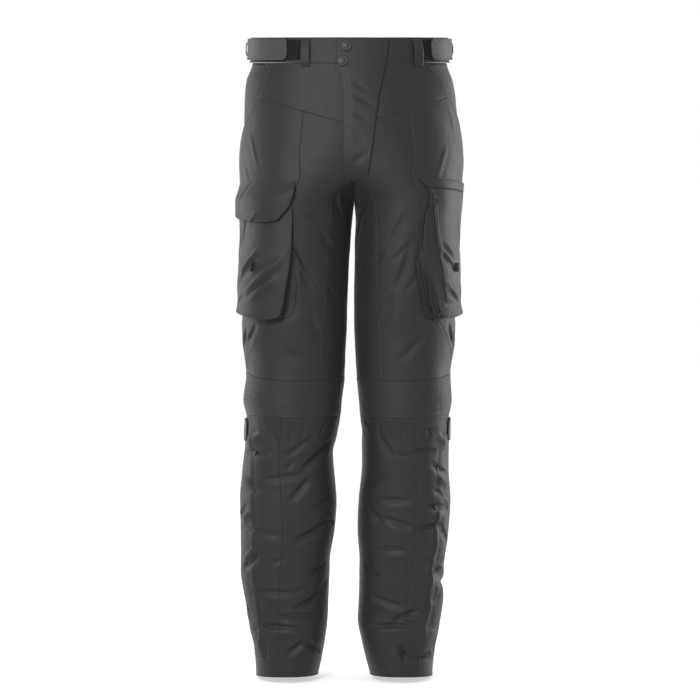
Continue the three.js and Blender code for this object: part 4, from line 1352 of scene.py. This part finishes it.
def storm_wave(leg, angle, level):
    """A soft ridge and trough, uneven in height, along the flap that covers the calf seam."""
    ridge, trough = STORM_WAVE[leg.name]
    away = from_calf_seam(leg, angle, level)
    turn = 2 * math.pi * (level - STORM_CREST) / STORM_SWELL
    swell = 0.62 + 0.26 * np.cos(turn) + 0.12 * np.cos(1.7 * turn + 1)
    fade = smooth((STORM_WAVE_TOP - level) / STORM_FADE)
    fade = fade * smooth((level - STORM_WAVE_FOOT) / STORM_FADE)
    from_ridge = away + STORM_RIDGE["away"] - STORM_RIDGE["sway"] * np.cos(turn)
    crest = ridge * swell * np.exp(-((from_ridge / STORM_RIDGE["wide"]) ** 2))
    from_trough = (away - STORM_TROUGH["away"]) / STORM_TROUGH["wide"]
    return fade * (crest - trough * (1.2 - swell) * np.exp(-(from_trough ** 2)))


def lower_relief(leg):
    """The flap's wave, and the turned-up hem, where the cloth draws in at its row of sewing."""
    def relief(angle, level, across, down):
        from_row = (level - HEM - HEM_DEPTH) / HEM_DRAW["wide"]
        hem = -HEM_DRAW["depth"] * np.exp(-(from_row ** 2))
        return hem + storm_wave(leg, angle, level)
    return relief


def add_lower_leg(leg):
    options = dict(thickness=hem_wall, relief=lower_relief(leg))
    sewn = dict(front="none", back="double", top="double", foot="single")
    panel("inner_shin", leg, fixed(-180), leg.shin_seam, KNEE_FOOT, HEM, sewn, options)
    sewn = dict(front="plain", back="plain", top="double", foot="single")
    panel("outer_shin", leg, leg.shin_seam, leg.calf_seam, KNEE_FOOT, HEM, sewn, options)
    sewn = dict(front="plain", back="none", top="double", foot="single")
    panel("calf", leg, leg.calf_seam, fixed(180), KNEE_FOOT, HEM, sewn, options)
    angle = np.linspace(-180, 180, 240)
    sew_at(f"{leg.name}_lower", leg, angle, HEM + HEM_DEPTH + 0 * angle, -0.4)

    def flap_front(level):
        return leg.calf_seam(level) - np.degrees(STORM_REACH / section(leg, level)[1])

    def flap_back(level):
        return mix(leg.calf_seam(level), 180, STORM_PORTION)

    def grown(angle, level):
        return smooth((from_calf_seam(leg, angle, level) + STORM_REACH) / 7)

    panel(
        "storm_flap", leg, flap_front, flap_back, STORM_TOP, STORM_FOOT,
        dict(front="none", back="plain", top="none", foot="none"),
        dict(
            stand=lambda angle, level: mix(STORM_LIP + 0.1, STORM_SEAT + STORM_WALL, grown(angle, level)),
            thickness=lambda angle, level: mix(STORM_LIP, STORM_WALL, grown(angle, level)),
            relief=lambda angle, level, across, down: storm_wave(leg, angle, level),
        ),
        rests_on=[f"cloth_calf_{leg.name}"],
    )


# Cargo pockets

def pouch_stand(across, down):
    opened = smooth((down - POUCH_SWELL["start"]) / POUCH_SWELL["length"])
    flat = smooth((across - POUCH_FLAT["start"]) / POUCH_FLAT["length"])
    return POUCH_SEAT + POUCH_DEPTH * np.minimum(opened * (1 - POUCH_FLAT["share"] * flat), 1)


def pouch_creases(leg, angle, level, across, down):
    """Creases of the pouch's own cloth, which fade out towards its front and foot edges."""
    own = creases(leg, leg.pouch_folds, angle, level)
    return own * smooth(across / POUCH_FOLD_FADE["front"]) * smooth((1 - down) / POUCH_FOLD_FADE["foot"])


def rim_profile(length):
    """Places along a pouch from its front or foot edge: first the side wall, which tucks back
    under the edge, then the face. Each has a place and how much of the full height it stands at."""
    face = closed_up(length)
    place_at = np.concatenate([np.array(RIM_AT) * POUCH_TUCK / length, face])
    return place_at, np.concatenate([RIM_HEIGHT, np.ones(len(face))])


def pouch_width(leg, level):
    middle, half, y, depth = section(leg, level)
    return float(math.radians(POUCH_BACK - leg.pouch_front(level)) * (half + depth) / 2)


def add_pouch(leg):
    height = POUCH_TOP - POUCH_FOOT
    across, front_rise = rim_profile(pouch_width(leg, (POUCH_TOP + POUCH_FOOT) / 2))
    foot_first, foot_rise = rim_profile(height)
    down = 1 - foot_first[::-1]
    foot_rise = foot_rise[::-1]
    s, t = np.meshgrid(across, down)
    level = mix(POUCH_TOP, POUCH_FOOT, t)
    corner = np.clip(1 - s / POUCH_CORNER["share"], 0, 1)
    level = level + (POUCH_CORNER["rise"] * corner ** 2 + POUCH_FOOT_RISE * s) * smooth((t - 0.5) * 2)
    angle = mix(leg.pouch_front(level), POUCH_BACK, s)
    risen = np.minimum(front_rise[None, :], foot_rise[:, None])
    stand = mix(POUCH_SEAT, pouch_stand(s, t), risen) + POUCH_WALL
    own = pouch_creases(leg, angle, level, s, t) * risen
    on_face = np.ix_(foot_rise >= 1, front_rise >= 1)
    if leg.name == "left":
        own = own + zip_lips(angle, level)
    cloth_piece(
        f"cargo_pocket_{leg.name}", leg, (angle, level, stand), POUCH_WALL,
        dict(front="none", back="plain", top="plain", foot="none"), "pockets", own,
        rests_on=[f"cloth_side_thigh_{leg.name}"],
    )
    face = (angle[on_face], level[on_face], (stand + own)[on_face])
    distance = edge_distances(place(leg, *face))
    for edge in ("front", "foot"):
        sew_edge("pockets", leg, face, distance, edge, STITCH_ROWS["single"][0])


def add_flap(leg):
    foot = follow(FLAP_FOOT, "level")
    front = follow(FLAP_FRONT, "angle")
    back = POUCH_BACK + FLAP_PAST["back"]
    across = closed_up(pouch_width(leg, FLAP_TOP) + FLAP_PAST["width"])
    s, t = np.meshgrid(across, closed_up(FLAP_HEIGHT))
    level = mix(FLAP_TOP, foot(mix(FLAP_FRONT["angle"].min(), back, s)), t)
    angle = mix(front(level), back, s)
    stand = FLAP_LIP + FLAP_RISE * smooth(t * 2) + FLAP_FLARE * t
    thickness = mix(FLAP_LIP - STORM_SEAT, WALL, smooth(t * 3))
    own = FLAP_FOLDS["share"] * creases(leg, leg.pouch_folds, angle, level - FLAP_FOLDS["shift"])
    cloth_piece(
        f"pocket_flap_{leg.name}", leg, (angle, level, stand), thickness,
        dict(front="none", back="plain", top="none", foot="double"), "pockets", own,
        rests_on=[f"cloth_cargo_pocket_{leg.name}"],
    )


def strip(leg, front, back, top, foot, cell=1.5):
    """Grids of angles and levels for a small piece."""
    middle, half, y, depth = section(leg, (top + foot) / 2)
    width = math.radians(back - front) * (half + depth) / 2
    across = np.linspace(0, 1, max(int(width / cell), 6) + 1)
    down = np.linspace(0, 1, max(int((top - foot) / cell), 6) + 1)
    s, t = np.meshgrid(across, down)
    return mix(front, back, s), mix(top, foot, t), s, t


def add_pocket_band(leg):
    """The band over the top of the left pocket."""
    across = closed_up(pouch_width(leg, POUCH_TOP))
    s, t = np.meshgrid(across, np.linspace(0, 1, 13))
    level = mix(POUCH_TOP + POUCH_BAND_HEIGHT, POUCH_TOP + 1, t)
    angle = mix(leg.pouch_front(level), POUCH_BACK, s)
    cloth_piece(
        f"pocket_top_{leg.name}", leg, (angle, level, POUCH_SEAT + POUCH_WALL), POUCH_WALL,
        dict(front="plain", back="plain", top="single", foot="single"), "pockets",
        rests_on=[f"cloth_side_thigh_{leg.name}"],
    )


zip_line = follow(ZIP_LINE, "left")


def zip_lips(angle, level):
    """The pocket's cloth stands up in a soft lip on both sides of its zip."""
    leg = LEGS["left"]
    middle, half, y, depth = section(leg, level)
    away = np.radians(angle - zip_line(level)) * radius_at(half, depth, angle)
    past = ZIP_LIP["past"]
    along = smooth((ZIP_TOP + past - level) / ZIP_LIP["ends"])
    along = along * smooth((level - ZIP_FOOT + past) / ZIP_LIP["ends"])
    height = mix(ZIP_LIP["upper"], ZIP_LIP["lower"], smooth((ZIP_LIP["change"] - level) / ZIP_LIP["over"]))
    lip = height * np.exp(-(((np.abs(away) - ZIP_LIP["away"]) / ZIP_LIP["wide"]) ** 2))
    return along * (lip - ZIP_TROUGH["depth"] * np.exp(-((away / ZIP_TROUGH["wide"]) ** 2)))


def on_pouch(leg, angle, level):
    """How far the pouch's face stands off at a place."""
    front = leg.pouch_front(level)
    s = (angle - front) / (POUCH_BACK - front)
    t = (level - POUCH_TOP) / (POUCH_FOOT - POUCH_TOP)
    return pouch_stand(s, t) + POUCH_WALL + pouch_creases(leg, angle, level, s, t)


def on_zip(leg, angle, level):
    """How far the outside of the zip's tape stands off at a place."""
    return on_pouch(leg, angle, level) + ZIP_STAND + ZIP_WALL - ZIP_SINK


def small_block(name, outline, height, bevel):
    """A small moulded piece of the zip from an outline in its own plane, with rounded edges."""
    count = len(outline)
    points = [(x * MM, y * MM, z * MM) for z in (0, height) for x, y in outline]
    sides = [(i, (i + 1) % count, count + (i + 1) % count, count + i) for i in range(count)]
    faces = [tuple(range(count))[::-1], tuple(range(count, 2 * count)), *sides]
    piece = put(name, smooth_mesh(name, points, faces))
    rounded = piece.modifiers.new("rounded", "BEVEL")
    rounded.width = bevel * MM
    rounded.segments = 3
    return dress(piece, "zip")


def stand_on(piece, spot, out, down):
    """Sets a small piece at a spot with its Z outwards and its -Y down."""
    z = Vector(out).normalized()
    y = -Vector(down)
    y = (y - z * y.dot(z)).normalized()
    x = y.cross(z)
    piece.matrix_world = Matrix((x, y, z)).transposed().to_4x4()
    piece.location = Vector(spot) * MM


def add_pocket_zip(leg):
    """Tape, two rows of teeth and the slider of the left pocket's zip."""
    s, t = np.meshgrid(np.linspace(0, 1, 9), np.linspace(0, 1, 82))
    level = mix(ZIP_TOP, ZIP_FOOT, t)
    half_turn = np.degrees(ZIP_WIDTH / 2 / section(leg, ZIP_TOP)[1])
    angle = zip_line(level) + (2 * s - 1) * half_turn
    cloth_piece(
        f"pocket_zip_{leg.name}", leg, (angle, level, on_zip(leg, angle, level)), ZIP_WALL,
        dict(front="none", back="none", top="none", foot="none"), "pockets",
        slot_name="zip", material=WEBBING, rests_on=[f"cloth_cargo_pocket_{leg.name}"],
    )
    add_teeth(leg)
    add_slider(leg)


def add_teeth(leg):
    """Two rows of small blocks, each set half a pitch from the other."""
    at = np.arange(ZIP_TOP - 4, ZIP_FOOT + 3, -TOOTH_PITCH)
    points = []
    for side in (-1, 1):
        levels = at - (TOOTH_PITCH / 2 if side > 0 else 0)
        for reach, top in ((TOOTH["near"], TOOTH["top"]), (TOOTH["far"], TOOTH["top"] - TOOTH["slope"])):
            turned = zip_line(levels) + side * np.degrees(reach / section(leg, levels)[1])
            for step in (TOOTH["half"], -TOOTH["half"]):
                for rise in (TOOTH["foot"], top):
                    points.append(place(leg, turned, levels + step, on_zip(leg, turned, levels) + rise))
    blocks = np.stack(points).reshape(2, 8, len(at), 3).transpose(0, 2, 1, 3).reshape(-1, 8, 3)
    sides = ((0, 1, 3, 2), (4, 6, 7, 5), (0, 4, 5, 1), (2, 3, 7, 6), (1, 5, 7, 3), (0, 2, 6, 4))
    quads = []
    for block in range(len(blocks)):
        flip = block >= len(at)
        for face in sides:
            numbers = [block * 8 + corner for corner in face]
            quads.append(numbers[::-1] if flip else numbers)
    dress(collection_mesh("zip_teeth", blocks.reshape(-1, 3), quads), "zip")


def add_slider(leg):
    level = np.array([ZIP_TOP - 5.0])
    angle = zip_line(level)
    base = on_pouch(leg, angle, level) + ZIP_STAND + ZIP_WALL
    spot = place(leg, angle, level, base + 0.2)[0]
    out = place(leg, angle, level, base + 5)[0] - spot
    down = place(leg, zip_line(level - 6), level - 6, base + 0.2)[0] - spot
    body = [(-2.4, 3.2), (2.4, 3.2), (3.3, 0.8), (2.2, -4), (-2.2, -4), (-3.3, 0.8)]
    stand_on(small_block("zip_slider", body, 2.2, 0.5), spot, out, down)
    pull = [(-1.5, 2), (1.5, 2), (1.9, -9), (1.2, -14), (-1.2, -14), (-1.9, -9)]
    raised = spot + out / np.linalg.norm(out) * 2.3
    stand_on(small_block("zip_pull", pull, 1.1, 0.35), raised, out, down)


def add_tag(leg, turn):
    """A small bare folded tag sewn into the pocket's edge."""
    half_turn = np.degrees(TAG["thickness"] / 2 / section(leg, TAG["level"])[1])
    around = np.linspace(0, 1, 17)
    bend = np.sin(math.pi * around)
    side = -np.cos(math.pi * around)
    out_share = np.minimum(bend * 1.6, 1)
    s, t = np.meshgrid(around, np.linspace(0, 1, 9))
    level = TAG["level"] - t * TAG["height"]
    angle = turn + half_turn * side[None, :] * (1 - 0.35 * out_share[None, :]) + 0 * level
    base = on_pouch(leg, np.full(level.shape, float(turn)), level) + TAG["seat"]
    outer = place(leg, angle, level, base + TAG["width"] * out_share[None, :])
    inner_out = base + (TAG["width"] - TAG["wall"]) * out_share[None, :]
    inner = place(leg, mix(turn, angle, 0.45), level, inner_out)
    rows = np.arange(outer.shape[0])
    columns = np.arange(outer.shape[1])
    node = f"pocket_tag_{leg.name}"
    made = shell(f"cloth_{node}", outer, inner, rows, columns, np.zeros(outer.shape[:2]))
    declare(made, node, "webbing", "folded", [f"cloth_cargo_pocket_{leg.name}"])


# Tabs, loops and piping

def rounded_tab(node, leg, box, stand, rests_on):
    middle_at = (box["top"] + box["foot"]) / 2
    half_height = (box["top"] - box["foot"]) / 2
    span = float(math.radians(box["back"] - box["front"]) * section(leg, middle_at)[1])
    end = np.linspace(0, 1, 9) ** 2 * TAB_CORNER
    middle = np.linspace(TAB_CORNER, span - TAB_CORNER, max(int(span / 1.6), 6) + 1)[1:-1]
    across = np.concatenate([end, middle, span - end[::-1]]) / span
    s, t = np.meshgrid(across, closed_up(2 * half_height))
    to_end = np.clip(TAB_CORNER - np.minimum(s, 1 - s) * span, 0, TAB_CORNER)
    cut = TAB_CORNER - np.sqrt(TAB_CORNER ** 2 - to_end ** 2)
    level = middle_at + (half_height - cut) * (1 - 2 * t)
    angle = mix(box["front"], box["back"], s)
    edges = dict(front="none", back="none", top="single", foot="single")
    swayed = TAB_WAVE["across"] * s + TAB_WAVE["sway"] * np.sin(TAB_WAVE["down"] * t)
    soft = TAB_WAVE["height"] * np.sin(swayed + TAB_WAVE["start"]) * np.sin(math.pi * s)
    grids = (angle, level, stand + WALL)
    said = dict(slot_name="tab_cloth", held="laid", rests_on=rests_on)
    cloth_piece(node, leg, grids, WALL, edges, "tabs", soft, **said)


def add_adjusters(leg):
    row = ADJUSTERS[leg.name]
    box = dict(top=TAB_TOP, foot=TAB_FOOT, front=row["front"], back=row["back"])
    rounded_tab(f"waist_tab_{leg.name}", leg, box, TAB_STAND, [f"cloth_hook_strip_{leg.name}"])
    angle, level, s, t = strip(leg, row["hook"], row["back"] - HOOK_SHORT, HOOK_TOP, HOOK_FOOT)
    edges = dict(front="plain", back="plain", top="plain", foot="plain")
    cloth_piece(
        f"hook_strip_{leg.name}", leg, (angle, level, LIE + HOOK_WALL), HOOK_WALL, edges, "tabs",
        slot_name="hook_tape", held="laid", rests_on=[f"cloth_waistband_front_{leg.name}"],
    )
    turn = PULL[leg.name]
    half_turn = float(np.degrees(PULL["width"] / 2 / section(leg, 0)[1]))
    angle, level, s, t = strip(leg, turn - half_turn, turn + half_turn, PULL["top"], PULL["foot"], 1.0)
    stand = PULL["stand"] + PULL["bow"] * np.sin(math.pi * t) + PULL["thickness"]
    edges = dict(front="plain", back="plain", top="single", foot="single")
    cloth_piece(
        f"tab_pull_{leg.name}", leg, (angle, level, stand), PULL["thickness"], edges, "tabs",
        slot_name="webbing", rests_on=[f"cloth_waist_tab_{leg.name}"],
    )
    add_piping(leg)


def add_piping(leg):
    """A round piping under the waistband, which thins out towards its ends."""
    turn = np.linspace(PIPING_FRONT[leg.name], PIPING_BACK, PIPING_STEPS)
    level = BAND_FOOT + 0 * turn
    seat = LIE + PIPING_STAND / 2
    centre = place(leg, turn, level, seat)
    out = place(leg, turn, level, seat + 1) - centre
    up = place(leg, turn, level + 1, seat) - centre
    out /= np.linalg.norm(out, axis=1, keepdims=True)
    up /= np.linalg.norm(up, axis=1, keepdims=True)
    step = np.arange(PIPING_STEPS)
    to_end = np.minimum(step / PIPING_TAPER["front"], step[::-1] / PIPING_TAPER["back"])
    taper = smooth(to_end + PIPING_TAPER["least"])[:, None]
    rings = []
    for side in range(PIPING_SIDES):
        a = 2 * math.pi * side / PIPING_SIDES
        round_out = PIPING_STAND / 2 * math.cos(a) * out
        round_up = PIPING_HEIGHT / 2 * math.sin(a) * up
        rings.append(centre + (round_out + round_up) * taper)
    points = np.stack(rings, axis=1).reshape(-1, 3)
    at = np.arange(len(points))
    numbers = at.reshape(PIPING_STEPS, PIPING_SIDES)
    around = np.roll(numbers, -1, axis=1)
    quads = np.stack([numbers[:-1], around[:-1], around[1:], numbers[1:]], axis=-1).reshape(-1, 4)
    caps = [list(numbers[0]), list(numbers[-1][::-1])]
    if leg.side < 0:
        quads = quads[:, ::-1]
    else:
        caps = [face[::-1] for face in caps]
    uv = np.stack([at % PIPING_SIDES, at // PIPING_SIDES * 1.4], axis=1).astype(float)
    node = f"waist_piping_{leg.name}"
    piece = collection_mesh(f"cord_{node}", points, [*quads.tolist(), *caps], uv=uv)
    declare(piece, node, "piping", held=None)


def add_loop(node, leg, turn):
    middle, half, y, depth = section(leg, 0)
    half_turn = float(np.degrees(LOOP_WIDTH / 2 / radius_at(half, depth, turn)))
    angle, level, s, t = strip(leg, turn - half_turn, turn + half_turn, LOOP_TOP, LOOP_FOOT, 1.2)
    stand = LOOP_SEAT + LOOP_BOW * np.sin(math.pi * t) + LOOP_WALL
    edges = dict(front="single", back="single", top="plain", foot="plain")
    cloth_piece(node, leg, (angle, level, stand), LOOP_WALL, edges, "waist")
    for inward in LOOP_BARTACKS:
        for end in (LOOP_TOP - inward, LOOP_FOOT + inward):
            across = np.linspace(turn - 0.8 * half_turn, turn + 0.8 * half_turn, 12)
            down = (LOOP_TOP - end) / (LOOP_TOP - LOOP_FOOT)
            out = LOOP_SEAT + LOOP_BOW * math.sin(math.pi * down) + LOOP_WALL
            sew_at("waist", leg, across, end + 0 * across, out)


# Fly

def front_point(x, z):
    """The front of the two halves at one place, bridged where they meet."""
    fronts = []
    for leg in LEGS.values():
        middle, half, y, depth = section(leg, z)
        q = np.minimum(np.abs((leg.side * x - middle) / half), 1)
        fronts.append(-(y - depth * (1 - q ** SQUARENESS) ** (1 / SQUARENESS)))
    most = np.maximum(*fronts)
    total = sum(np.exp((y - most) / FLY_BRIDGE) for y in fronts)
    y = -(most + FLY_BRIDGE * np.log(total))
    return np.stack([x, y, z + lean(z) * y], axis=-1)


def on_fly(x, z, out):
    here = front_point(x, z)
    beside = front_point(x + 1, z) - here
    below = front_point(x, z - 1) - here
    normal = np.cross(below, beside)
    normal /= np.linalg.norm(normal, axis=-1, keepdims=True)
    return here + normal * np.asarray(out)[..., None]


def fly_relief(x, z):
    """Slanting creases of the fly flap, and the slight unevenness of its cloth."""
    total = 0.0
    for across, height, reach, width, deep, slant in FLY_FOLDS:
        c = math.cos(math.radians(slant))
        s = math.sin(math.radians(slant))
        along = ((x - across) * c + (z - height) * s) / reach
        off = ((z - height) * c - (x - across) * s) / width
        fade = np.clip(1 - along * along, 0, 1) ** 2
        total = total - deep * fade * (1 - SHOULDER * off * off) * np.exp(-off * off)
    where = np.stack([x, 0 * x, z], axis=-1)
    return total + 0.25 * noise(where, 19)


def add_fly():
    free = follow(FLY_EDGES, "free")
    seam = follow(FLY_EDGES, "seam")
    down = closed_up(FLY_TOP - FLY_FOOT)
    t = down[:, None]
    z = mix(FLY_TOP, FLY_FOOT, t)
    s = closed_up(float(np.mean(seam(z) - free(z))))[None, :]
    x = mix(free(z), seam(z), s)
    z = z + FLY_FOOT_RISE * t * t * s
    distance = edge_distances(on_fly(x, z, LIE + t + 0 * x))
    near = np.minimum(distance["front"], distance["foot"])
    thinned = FLY_EDGE_THIN * (1 - smooth(near / FLY_EDGE_WIDTH))
    base = LIE + FLY_FLARE * t - FLY_UNDER * thinned
    relief = fly_relief(x, z) - (1 - FLY_UNDER) * thinned
    for edge, kind in (("front", "double"), ("back", "plain"), ("top", "single"), ("foot", "plain")):
        relief = relief + seam_relief(distance[edge], kind)
    outer = on_fly(x, z, base + WALL + relief)
    rows = every(outer.shape[0], INNER_STRIDE)
    columns = every(outer.shape[1], INNER_STRIDE)
    some = np.ix_(rows, columns)
    inner = on_fly(x[some], z[some], base[some])
    wear = worn_at(distance["front"])
    made = shell("cloth_fly_flap", outer, inner, rows, columns, wear)
    declare(made, "fly_flap", held="laid", rests_on=["cloth_waistband_front_left"])
    sew_fly(x, z, base + WALL + relief, distance)


def sew_fly(x, z, out, distance):
    for edge in ("front", "back"):
        flip = slice(None, None, -1) if edge == "back" else slice(None)
        for inward in STITCH_ROWS["double"]:
            rows = []
            for i, line in enumerate(distance[edge]):
                rows.append([np.interp(inward, line[flip], grid[i][flip]) for grid in (x, z, out)])
            px, pz, lift = np.array(rows).T
            base = on_fly(px, pz, lift)
            sew("waist", base, on_fly(px, pz, lift + 1) - base)


def add_snaps():
    """Snap buttons: a domed cap with a rolled rim and a ring pressed into it."""
    rim = SNAP_RADIUS
    profile = [
        (0, 0), (rim - 1.2, 0), (rim - 0.3, 0.35), (rim, 1.0), (rim - 0.25, 1.75), (rim - 0.9, 2.3),
        (rim - 1.7, 2.5), (rim - 2.3, 2.25), (rim - 2.9, 2.3), (rim - 3.8, 2.75), (rim * 0.4, 3.15),
        (rim * 0.2, 3.35), (0, SNAP_HEIGHT),
    ]
    sides = SNAP_SIDES
    for node, (x, z) in SNAPS.items():
        foot = LIE + WALL + SEAM
        seat, tip = (on_fly(np.array([float(x)]), np.array([float(z)]), foot + lift)[0] for lift in (0, 1))
        points = [(0, 0, 0)]
        for radius, height in profile[1:-1]:
            for i in range(sides):
                a = 2 * math.pi * i / sides
                points.append((radius * math.cos(a) * MM, radius * math.sin(a) * MM, height * MM))
        points.append((0, 0, profile[-1][1] * MM))
        faces = []
        rings = len(profile) - 2
        top = 1 + (rings - 1) * sides
        for i in range(sides):
            j = (i + 1) % sides
            faces.append((0, 1 + j, 1 + i))
            for ring in range(rings - 1):
                low = 1 + ring * sides
                faces.append((low + i, low + j, low + sides + j, low + sides + i))
            faces.append((top + i, top + j, len(points) - 1))
        piece = put(f"button_{node}", smooth_mesh(f"button_{node}", points, faces))
        stand_on(piece, seat, tip - seat, (0, 0, -1))
        declare(piece, node, "snap_button", held=None)


for leg in LEGS.values():
    add_hip(leg)
    add_thigh(leg)
    add_knee(leg)
    add_lower_leg(leg)
    add_pouch(leg)
    add_tag(leg, TAG[leg.name])
    add_adjusters(leg)
    tab_on = [f"cloth_calf_{leg.name}"]
    rounded_tab(f"knee_tab_{leg.name}", leg, KNEE_TAB, KNEE_TAB["stand"], tab_on)
add_waistband()
for node, (side, turn) in LOOPS.items():
    add_loop(node, LEGS[side], turn)
add_loop("belt_loop_back", LEGS["left"], float(centre_angle(LEGS["left"], 0)))
add_flap(LEGS["right"])
add_pocket_band(LEGS["left"])
add_pocket_zip(LEGS["left"])
add_fly()
add_snaps()


# Sewing, one mesh for each stretch of the garment

def add_threads():
    for group, runs in threads.items():
        rings = np.concatenate(runs)
        count = len(rings)
        start = np.arange(count)[:, None, None] * 12
        ring = np.arange(3)[None, :2, None] * 4
        turn = np.arange(4)[None, None, :]
        a = start + ring + turn
        b = start + ring + (turn + 1) % 4
        sides = np.stack([a, b, b + 4, a + 4], axis=-1).reshape(-1, 4)
        first = np.arange(count)[:, None] * 12 + np.array([3, 2, 1, 0])
        last = np.arange(count)[:, None] * 12 + np.array([8, 9, 10, 11])
        quads = np.concatenate([sides, first, last])
        piece = collection_mesh(f"stitches_{group}", rings.reshape(-1, 3), quads)
        piece.data.uv_layers.new(name="weave")
        dress(piece, "shell_cloth", THREAD)


add_threads()


# Camera, floor and light

CAMERA_AWAY = 3.5
CAMERA_HEIGHT = -0.493
CAMERA_LENS = 109.6
CAMERA_SENSOR = 36
FLOOR_GAP = 0.002
FLOOR_RADIUS = 60
FLOOR_SIDES = 48
FLOOR_GLOW = 0.54

# Area lights: place, size and power
AIM = (0, 0, -0.5)
LIGHTS = {
    "left_strip": ((-1.9, 0.9, -0.2), (0.6, 1.5), 17),
    "right_strip": ((1.9, 0.9, -0.2), (0.6, 1.5), 29),
    "front_key": ((-1.15, -3.2, 0.9), (0.9, 0.9), 118),
}


def add_camera():
    data = bpy.data.cameras.new("camera")
    data.lens = CAMERA_LENS
    data.sensor_width = CAMERA_SENSOR
    camera = put("camera", data)
    camera.location = (0, -CAMERA_AWAY, CAMERA_HEIGHT)
    camera.rotation_euler = (math.pi / 2, 0, 0)
    bpy.context.scene.camera = camera


def add_light(name, place_at, size, power):
    data = bpy.data.lights.new(name, "AREA")
    data.shape = "RECTANGLE"
    data.size, data.size_y = size
    data.energy = power
    light = put(name, data)
    light.location = place_at
    away = Vector(AIM) - light.location
    light.rotation_euler = away.to_track_quat("-Z", "Y").to_euler()


def add_floor():
    low = cad_box[0][2] - FLOOR_GAP
    turns = [2 * math.pi * side / FLOOR_SIDES for side in range(FLOOR_SIDES)]
    points = [(FLOOR_RADIUS * math.cos(a), FLOOR_RADIUS * math.sin(a), low) for a in turns]
    floor = put("floor", smooth_mesh("floor", points, [tuple(range(FLOOR_SIDES))]))
    nodes = Nodes("floor")
    nodes.ramp(nodes.noise(nodes.where(), 1.5, 2.0), (0.5,) * 3, (0.52,) * 3)
    nodes.set(Roughness=1.0, Specular_IOR_Level=0.0)
    nodes.set(Emission_Color=(1, 1, 1, 1), Emission_Strength=FLOOR_GLOW)
    floor.data.materials.append(nodes.material)


def add_world():
    world = bpy.data.worlds.new("studio")
    world.use_nodes = True
    background = world.node_tree.nodes["Background"]
    background.inputs["Color"].default_value = (1, 1, 1, 1)
    background.inputs["Strength"].default_value = 1.0
    bpy.context.scene.world = world
    bpy.context.scene.view_settings.view_transform = "Standard"


add_camera()
add_floor()
add_world()
for name, (place_at, size, power) in LIGHTS.items():
    add_light(name, place_at, size, power)
